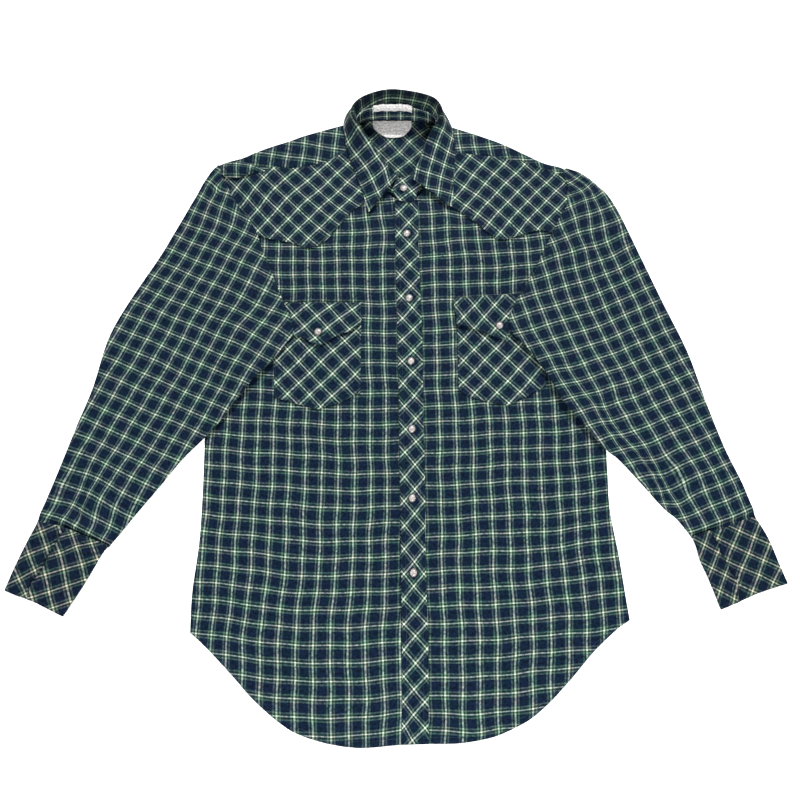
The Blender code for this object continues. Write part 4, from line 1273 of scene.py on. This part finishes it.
def make_placket():
    """The bias strip down the upper front's edge."""
    left, right = PLACKET_LEFT, PLACKET_RIGHT
    plan = piece_plan("placket", [left[0], right[0]], [left[-1], right[-1]], left[1:-1],
                      right[1:-1])
    base = on_front("left", 1)

    def height(x, y):
        edge = x - edge_x(PLACKET_LEFT, y)
        ripple = 0.25 * math.sin(y / 6.5 + 1.5 * math.sin(y / 31.0))
        apart = PLACKET_LIFT * ease((y + 210) / 60) * ease((150 - y) / 60)
        return base(x, y) + (ripple + apart) * math.exp(-edge / PLACKET_LIFT_FADE)
    laid_piece("placket", plan, height, PLACKET_PINS, "front_left",
               seams=[(["left", "right"], PLACKET_INSET, 120)])


def make_pockets():
    """Chest pockets and their pointed flaps."""
    for side, corner in FLAP_CORNERS.items():
        pocket_base, flap_base = on_front(side, 1), on_front(side, 2)

        def puff(x, y):
            return pocket_base(x, y) + 0.25 * unevenness(1.7 * x, 1.7 * y)

        def curl(x, y):
            near = 1 - math.dist((x, y), corner) / FLAP_CURL_REACH
            return flap_base(x, y) + FLAP_CURL * ease(near)
        laid_piece("pocket_" + side, piece_plan("pocket", smooth=False, **POCKETS[side]), puff,
                   POCKET_PINS[side], "front_" + side,
                   lifted=[(["left", "right", "bottom"], 0.4, 3.0)],
                   seams=[(["left", "right", "bottom"], EDGE_INSET, 60)])
        laid_piece("pocket_flap_" + side, piece_plan("flap", smooth=False, **FLAPS[side]), curl,
                   FLAP_PINS[side], "pocket_" + side,
                   lifted=[(["bottom"], 2.2, 6.0), (["left", "right"], 0.9, 4.0)],
                   seams=[(["left", "right", "bottom", "top"], EDGE_INSET, 60)])


# ------------------------ sleeves and cuffs
def make_sleeve(side):
    """A flattened tube, from the underarm seam under and over to the seam again."""
    lines, creases = SLEEVES[side], SLEEVE_CREASES[side]
    way = 1 if side == "left" else -1
    columns, rows = even(SLEEVE_CELLS), cells(SLEEVE_LENGTH, 4, SLEEVE_ENDS)
    corner, armhole = lines["corner"], along(lines["armhole"])
    aim = between(corner, lines["cuff_seam"][-1], MOUTH_AIM)
    under_mouth = [corner]
    for share in even(20)[1:]:
        place = armhole(share)
        inset = MOUTH_INSET * max(math.sin(math.pi * share), 0.0) ** 0.8
        under_mouth.append(between(place, aim, inset / math.dist(place, aim)))
    end = [(x + way * END_SHIFT[0], y + END_SHIFT[1]) for x, y in lines["cuff_seam"]]
    upper, lower = (patch(mouth, end, lines["outer"], lines["inner"], columns, rows)
                    for mouth in ([corner] + lines["armhole"], under_mouth))
    grid, plan, face = [], [], []
    for v, over_row, under_row in zip(rows, upper, lower):
        left = SLEEVE_LENGTH * (1 - v)
        puff = END_PUFF * bell((left - PUFF_PLACE) / PUFF_WIDTH)
        crown = ease(v / CROWN_RAMP)
        off = SLEEVE_CLEAR * crown * ease((1 - v) / CROWN_RAMP)
        over, under = [], []
        for u, (x, y), (low_x, low_y) in zip(columns, over_row, under_row):
            relief = (creased(x, y, creases) + unevenness(x, y)) * ease(v / CREASE_RAMP)
            relief *= ease(u / FOLD_RAMP) * ease((1 - u) / FOLD_RAMP)
            full = SLEEVE_FOLD + SLEEVE_CROWN * math.sin(math.pi * u) ** 0.7 * crown
            full += relief + puff
            full += (END_LOW - full) * ease((END_START - left) / END_STEP)
            top = sleeve_floor(x, y) + full + off * ease((u - 0.7) / 0.25)
            seam = under_front_top(x, y) + LAYER * (1 + layers_on_front(x, y)) + GAP
            seam += MOUTH_LIFT * (1 - ease(u * 3) + ease(u * 3 - 2))
            share = ease(v / MOUTH_RAMP) if 0 < u < 1 else 1.0
            over.append((x, y, seam + (top - seam) * share))
            low = sleeve_floor(low_x, low_y) + SHELL + off * ease((u - 0.8) / 0.15)
            under.append((low_x, low_y, low))
        ring, unrolled = fold_ring(over, under, SLEEVE_FOLD / 2)
        grid.append(ring[::-way])
        plan.append(unrolled[::-way])
        face.append(ring[-4 - SLEEVE_CELLS:-3][::-way])
    cloth("sleeve_" + side, grid, pinned(plan, SLEEVE_PINS[side]), held="folded",
          rests_on=["front_" + side])
    SEWING.sew(face, ["top"], SLEEVE_INSET, 100, 0.04, 0.96)


def fold_ring(over, under, radius):
    """From the inner fold under the sleeve, round the outer fold and back over the top.

    The second list is the plan unrolled about the outer fold, for the plaid.
    """
    def arc(edge, inner, low, high):
        """Five places round a fold, from its low face to its high one."""
        run = math.dist(edge[:2], inner[:2])
        middle, half = (low + high) / 2, (high - low) / 2
        places = []
        for angle in (math.pi * k / 6 for k in range(1, 6)):
            place = between(edge[:2], inner[:2], radius * (1 - math.sin(angle)) / run)
            places.append((*place, middle - half * math.cos(angle)))
        return places

    inner_fold = arc(over[-1], over[-2], under[-1][2], over[-1][2])
    outer_fold = arc(over[0], over[1], under[0][2], over[0][2])
    below = inner_fold[2::-1] + under[-2:0:-1] + outer_fold[:2]
    above = outer_fold[2:] + over[1:-1] + inner_fold[:1:-1]
    fold_x, fold_y = over[0][:2]
    unrolled = [(2 * fold_x - x, 2 * fold_y - y) for x, y, z in below]
    return below + above, unrolled + [(x, y) for x, y, z in above]


def make_cuff(side):
    """A strip wrapped round the sleeve's end, one end lapping over the other."""
    lines = CUFFS[side]
    over_map, under_map = (thin_plate(CUFF_PINS[side][layer]) for layer in ("over", "under"))
    turns = [k * math.pi / 6 for k in range(1, 6)]
    grid, uv = [], []
    for v in cells(CUFF_LENGTH, 3.2):
        plan = patch(lines["seam"], lines["end"], lines["outer"], lines["inner"],
                     even(CUFF_CELLS), [v])[0]
        line, width = along(plan, False), math.dist(plan[0], plan[-1])
        turn = CUFF_TURN / width
        lap = float(np.interp(v, *zip(*lines["lap"])))
        under_end = min(lap + CUFF_UNDERLAP / width, 0.95)
        wave = 0.5 * math.sin(v * 9.0)
        over = [(lap + (1 - turn - lap) * s, CUFF_OVER + wave * (1 - s)
                 + 0.5 * math.sin(math.pi * s) + CUFF_EDGE * ease(1 - 5 * s))
                for s in even(CUFF_CELLS // 2)]
        right_fold = [(1 - turn * (1 - math.sin(t)), CUFF_OVER / 2 * (1 + math.cos(t)))
                      for t in turns]
        bottom = [(1 - turn - (1 - 2 * turn) * s, SHELL) for s in even(14)]
        left_fold = [(turn * (1 - math.sin(t)), CUFF_UNDER / 2 * (1 - math.cos(t)))
                     for t in turns]
        under = []
        for s in (turn + (under_end - turn) * share for share in even(CUFF_CELLS)):
            away = (lap - s) * width
            ridge = RIDGE[0] * bell((away - RIDGE[1]) / RIDGE[2])
            ridge -= TROUGH[0] * bell(away / TROUGH[1])
            under.append((s, CUFF_UNDER + ridge * ease(v * 8)))
        row = over + [(s, max(z, SHELL)) for s, z in right_fold + bottom + left_fold] + under
        place = np.array([line(share) for share, z in row])
        far, near = np.array(line(1.0)), np.array(line(0.0))
        k = np.arange(len(row))[:, None]
        hidden_from, hidden_to = len(over) + 3, len(row) - len(under) - 3
        share = (k - hidden_from) / (hidden_to - hidden_from)
        hidden = over_map(2 * far - place) * (1 - share) + under_map(2 * near - place) * share
        shown = np.where(k < hidden_from, over_map(place), under_map(place))
        uv.append(np.where((k < hidden_from) | (k >= hidden_to), shown, hidden))
        grid.append([(*line(share), z) for share, z in row])
    if side == "left":
        grid.reverse()
        uv.reverse()
    cloth("cuff_" + side, grid, uv, held="folded", rests_on=["sleeve_" + side], surface=CUFF)
    SEWING.sew([row[:CUFF_CELLS // 2 + 1] for row in grid], ["top", "bottom", "left"],
               CUFF_INSET, 40)


# ------------------------ collar
def rows_between(stations, count, steps):
    """Smooth lines through the matching points of the stations, as rows."""
    lines = [along([station[k] for station in stations]) for k in range(count)]
    return [[line(share) for share in even(steps)] for line in lines]


def tab_plaid(x, y):
    """Counts of the plaid on the band's tab, about the lines that cross on it."""
    dx, dy, turn = x - TAB_CROSS[0], y - TAB_CROSS[1], math.radians(TAB_TURN)
    return (TAB_LINE - (dx * math.cos(turn) + dy * math.sin(turn)) / CHECK,
            -1 + (dy * math.cos(turn) - dx * math.sin(turn)) / CHECK)


def make_collar_stand():
    """The band: a loop that stands up at the back and lies flat at its tab."""
    seam, top = rows_between(BAND_STATIONS, 2, 230)
    parts = [part * BAND_OVER for part in cells(22, 2.4)]
    grid = [[between(low, high, part) for low, high in zip(seam, top)] for part in parts]
    run = running(top)
    back = [k for k, point in enumerate(top) if point[1] > BAND_BACK_Y]
    zero = min(back, key=lambda k: abs(top[k][0] - BAND_ZERO))
    uv = []
    for part, line in zip(parts, grid):
        row = []
        for k, (low, high) in enumerate(zip(seam, top)):
            upright = (line[k][0] - high[0]) * ease((high[1] - 378) / 10)
            counts = ((run[k] - run[zero] + upright) / BAND_CHECK,
                      -(1 - part) * math.dist(low, high) / CHECK - 0.08)
            on_tab = ease((k / (len(top) - 1) - TAB_START) / 0.08)
            row.append(between(counts, tab_plaid(*line[k][:2]), on_tab))
        uv.append(row)
    cloth("collar_stand", grid, uv, held="folded", rests_on=["yoke_lining"], surface=BIAS,
          wall=BAND_WALL)
    SEWING.sew(grid, ["bottom"], EDGE_INSET, 200)


def make_collar_leaf():
    """The leaf: up from the band, over the fold, and down to its outer edge."""
    root, fold, edge = rows_between(LEAF_STATIONS, 3, 210)
    run = running(fold)
    columns, params = [], []
    for k, (a, b, c) in enumerate(zip(root, fold, edge)):
        place = between(b[:2], c[:2], FOLD_WIDTH / math.dist(b[:2], c[:2]))
        x, y, z = between(b, c, 0.5)
        belly = (x, y, z + LEAF_BELLY * (b[2] - c[2]))
        slope = along([b, (*place, b[2] - FOLD_DROP), belly, c])
        inner = along([a, between(a, b, 0.5), b])
        column = [inner(share) for share in even(LEAF_INNER)[:-1]]
        column += [slope(share) for share in cells(50, 2.4, (0.7, 1.6))]
        length = running(column)
        columns.append(column)
        params.append([(run[k], t - length[LEAF_INNER]) for t in length])
    outside = [pair for column, row in zip(columns, params)
               for pair in list(zip(column, row))[LEAF_INNER + 2:]]
    pins = []
    for x, y, across, down in LEAF_PINS["right"] + LEAF_PINS["left"]:
        param = min(outside, key=lambda pair: math.dist(pair[0][:2], (x, y)))[1]
        pins.append((*param, across, down))
    back = [k for k, point in enumerate(fold) if point[1] > LEAF_BACK_Y]
    for x, number in BACK_LINES:
        k = min(back, key=lambda k: abs(fold[k][0] - x))
        pins += [(run[k], place, line, number) for place, line in zip(BACK_PINS, (-1, 0))]
    uv = pinned(turned(params), pins, 0.6)[::-1]
    grid = stand_off(turned(columns)[::-1], ["left", "right"], 2.4, 5.0)
    grid = stand_off(grid, ["top"], 0.8, 4.0)
    cloth("collar_leaf", grid, uv, held="folded", rests_on=["collar_stand"], surface=LEAF,
          wall=LEAF_WALL)
    SEWING.sew(grid, ["top"], LEAF_INSET, 260)
    SEWING.sew(grid, ["left", "right"], LEAF_INSET, 30, 0.0, 0.8)


def make_labels():
    """The neck label on the yoke lining and the small one on the band, both bare."""
    look = dict(surface=LABEL, slot_name="label_cloth", wall=LABEL_WALL)
    plan = piece_plan("neck_label", **NECK_LABEL)
    grid = lift(plan, lambda x, y: SOLID_WALL + 2 * LAYER + 0.5
                + 0.35 * math.sin(x / 1.7) * ease((y - 383) / 6))
    cloth("neck_label", grid, straight(plan), rests_on=["yoke_lining"], **look)
    seam, top = rows_between(BAND_STATIONS[7:11], 2, 60)
    root, fold, _ = rows_between(LEAF_STATIONS[6:10], 3, 60)
    columns = []
    for low, high, start, end in zip(seam, top, root, fold):
        if SIZE_LABEL_FROM < high[0] < SIZE_LABEL_TO:
            lines = {"band": (low, high), "leaf": (start, end)}
            ends = [between(*lines[piece], share) for piece, share in SIZE_LABEL_SHARES]
            line = along([(x + dx, y + dy, z + dz) for (x, y, z), (dx, dy, dz)
                          in zip(ends, SIZE_LABEL_OFFSETS)])
            wave = 0.5 * math.sin(high[0] / 1.9) + 0.6 * math.sin(high[0] / 5.3)
            columns.append([(x, y, z + wave) for x, y, z in map(line, even(8))])
    grid = turned(columns)
    uv = [[(x / CHECK, level / 8 * SIZE_LABEL_MAP) for x, y, z in row]
          for level, row in enumerate(grid)]
    cloth("size_label", grid, uv, rests_on=["collar_stand"], **look)


# ------------------------ snaps
def make_snap(name, x, y, seat):
    """A pearl cap set in a rolled metal ring."""
    steps = 48
    angles = [2 * math.pi * k / steps for k in range(steps)]
    vertices, faces, surfaces = [], [], []
    for number, profile in enumerate((CAP_PROFILE, RING_PROFILE)):
        for level, (radius, height) in enumerate(profile):
            b = len(vertices)
            a = b - steps
            vertices += [(x + radius * math.cos(t), y + radius * math.sin(t), seat + height)
                         for t in angles]
            if level:
                faces += [(a + k, b + k, b + (k + 1) % steps, a + (k + 1) % steps)
                          for k in range(steps)]
                surfaces += [number] * steps
    made = add_object(name, vertices, faces, PEARL, METAL)
    made.data.polygons.foreach_set("material_index", surfaces)
    made.data.validate()
    finish_piece(made, "pearl", [name])


def seat_on(height, x, y):
    """Lowest seat that clears a sloping surface all round a snap."""
    ring = [(x + SEAT_REACH * math.cos(a), y + SEAT_REACH * math.sin(a))
            for a in (k * math.pi / 4 for k in range(8))]
    return max(height(px, py) for px, py in ring + [(x, y)]) + SEAT_CLEAR


def make_snaps():
    for number, (x, y) in enumerate(FRONT_SNAPS, start=1):
        make_snap("snap_front_%d" % number, x, y, seat_on(on_front("left", 1), x, y))
    for side, (x, y) in FLAP_SNAPS.items():
        make_snap("snap_flap_" + side, x, y, seat_on(on_front(side, 2), x, y))
    make_snap("snap_collar", *COLLAR_SNAP)


# ------------------------ stage
def add_to_stage(name, data, place, rotation):
    made = bpy.data.objects.new(name, data)
    made.location = place
    made.rotation_euler = rotation
    bpy.context.scene.collection.objects.link(made)
    return made


def make_stage():
    """A pale floor, soft light from above and the photograph's camera."""
    scene = bpy.context.scene
    pale = simple_material("pale_floor", (252, 252, 252), 0.9, 3, mix=0.01,
                           **{"Emission Color": (1.0, 1.0, 1.0, 1.0), "Emission Strength": 0.5})
    corners = [(x * FLOOR_HALF, y * FLOOR_HALF, FLOOR_Z)
               for x, y in ((-1, -1), (1, -1), (1, 1), (-1, 1))]
    add_object("floor", corners, [(0, 1, 2, 3)], pale)
    scene.world = bpy.data.worlds.new("studio")
    scene.world.use_nodes = True
    sky = scene.world.node_tree.nodes["Background"].inputs
    sky[0].default_value = (1.0, 1.0, 1.0, 1.0)
    sky[1].default_value = SKY_STRENGTH
    for name, place, size, power in LAMPS:
        light = bpy.data.lights.new(name, "AREA")
        light.size, light.energy = size, power
        x, y, z = place
        to_centre = (math.atan2(math.hypot(x, y), z), 0.0, math.atan2(-x, y) + math.pi)
        add_to_stage(name, light, place, to_centre)
    light = bpy.data.lights.new("neck", "SPOT")
    light.energy, light.spot_size = NECK_LAMP_POWER, math.radians(15)
    light.spot_blend, light.shadow_soft_size = 0.9, 0.12
    add_to_stage("neck", light, NECK_LAMP_PLACE, (NECK_LAMP_TILT, 0.0, 0.0))
    data = bpy.data.cameras.new("camera")
    data.sensor_width, data.lens = 36.0, CAMERA_LENS
    scene.camera = add_to_stage("camera", data, CAMERA_PLACE, (math.radians(CAMERA_TILT), 0, 0))
    scene.view_settings.view_transform = "Standard"


# ------------------------ the shirt
make_back()
make_back_yoke()
make_yoke_lining()
make_fronts()
make_front_yokes()
make_placket()
make_pockets()
for wearer_side in ("right", "left"):
    make_sleeve(wearer_side)
    make_cuff(wearer_side)
make_tuck()
make_collar_stand()
make_collar_leaf()
make_labels()
make_snaps()
finish_piece(add_object("stitches", SEWING.vertices, SEWING.faces, THREAD), "plaid_cloth")
make_stage()
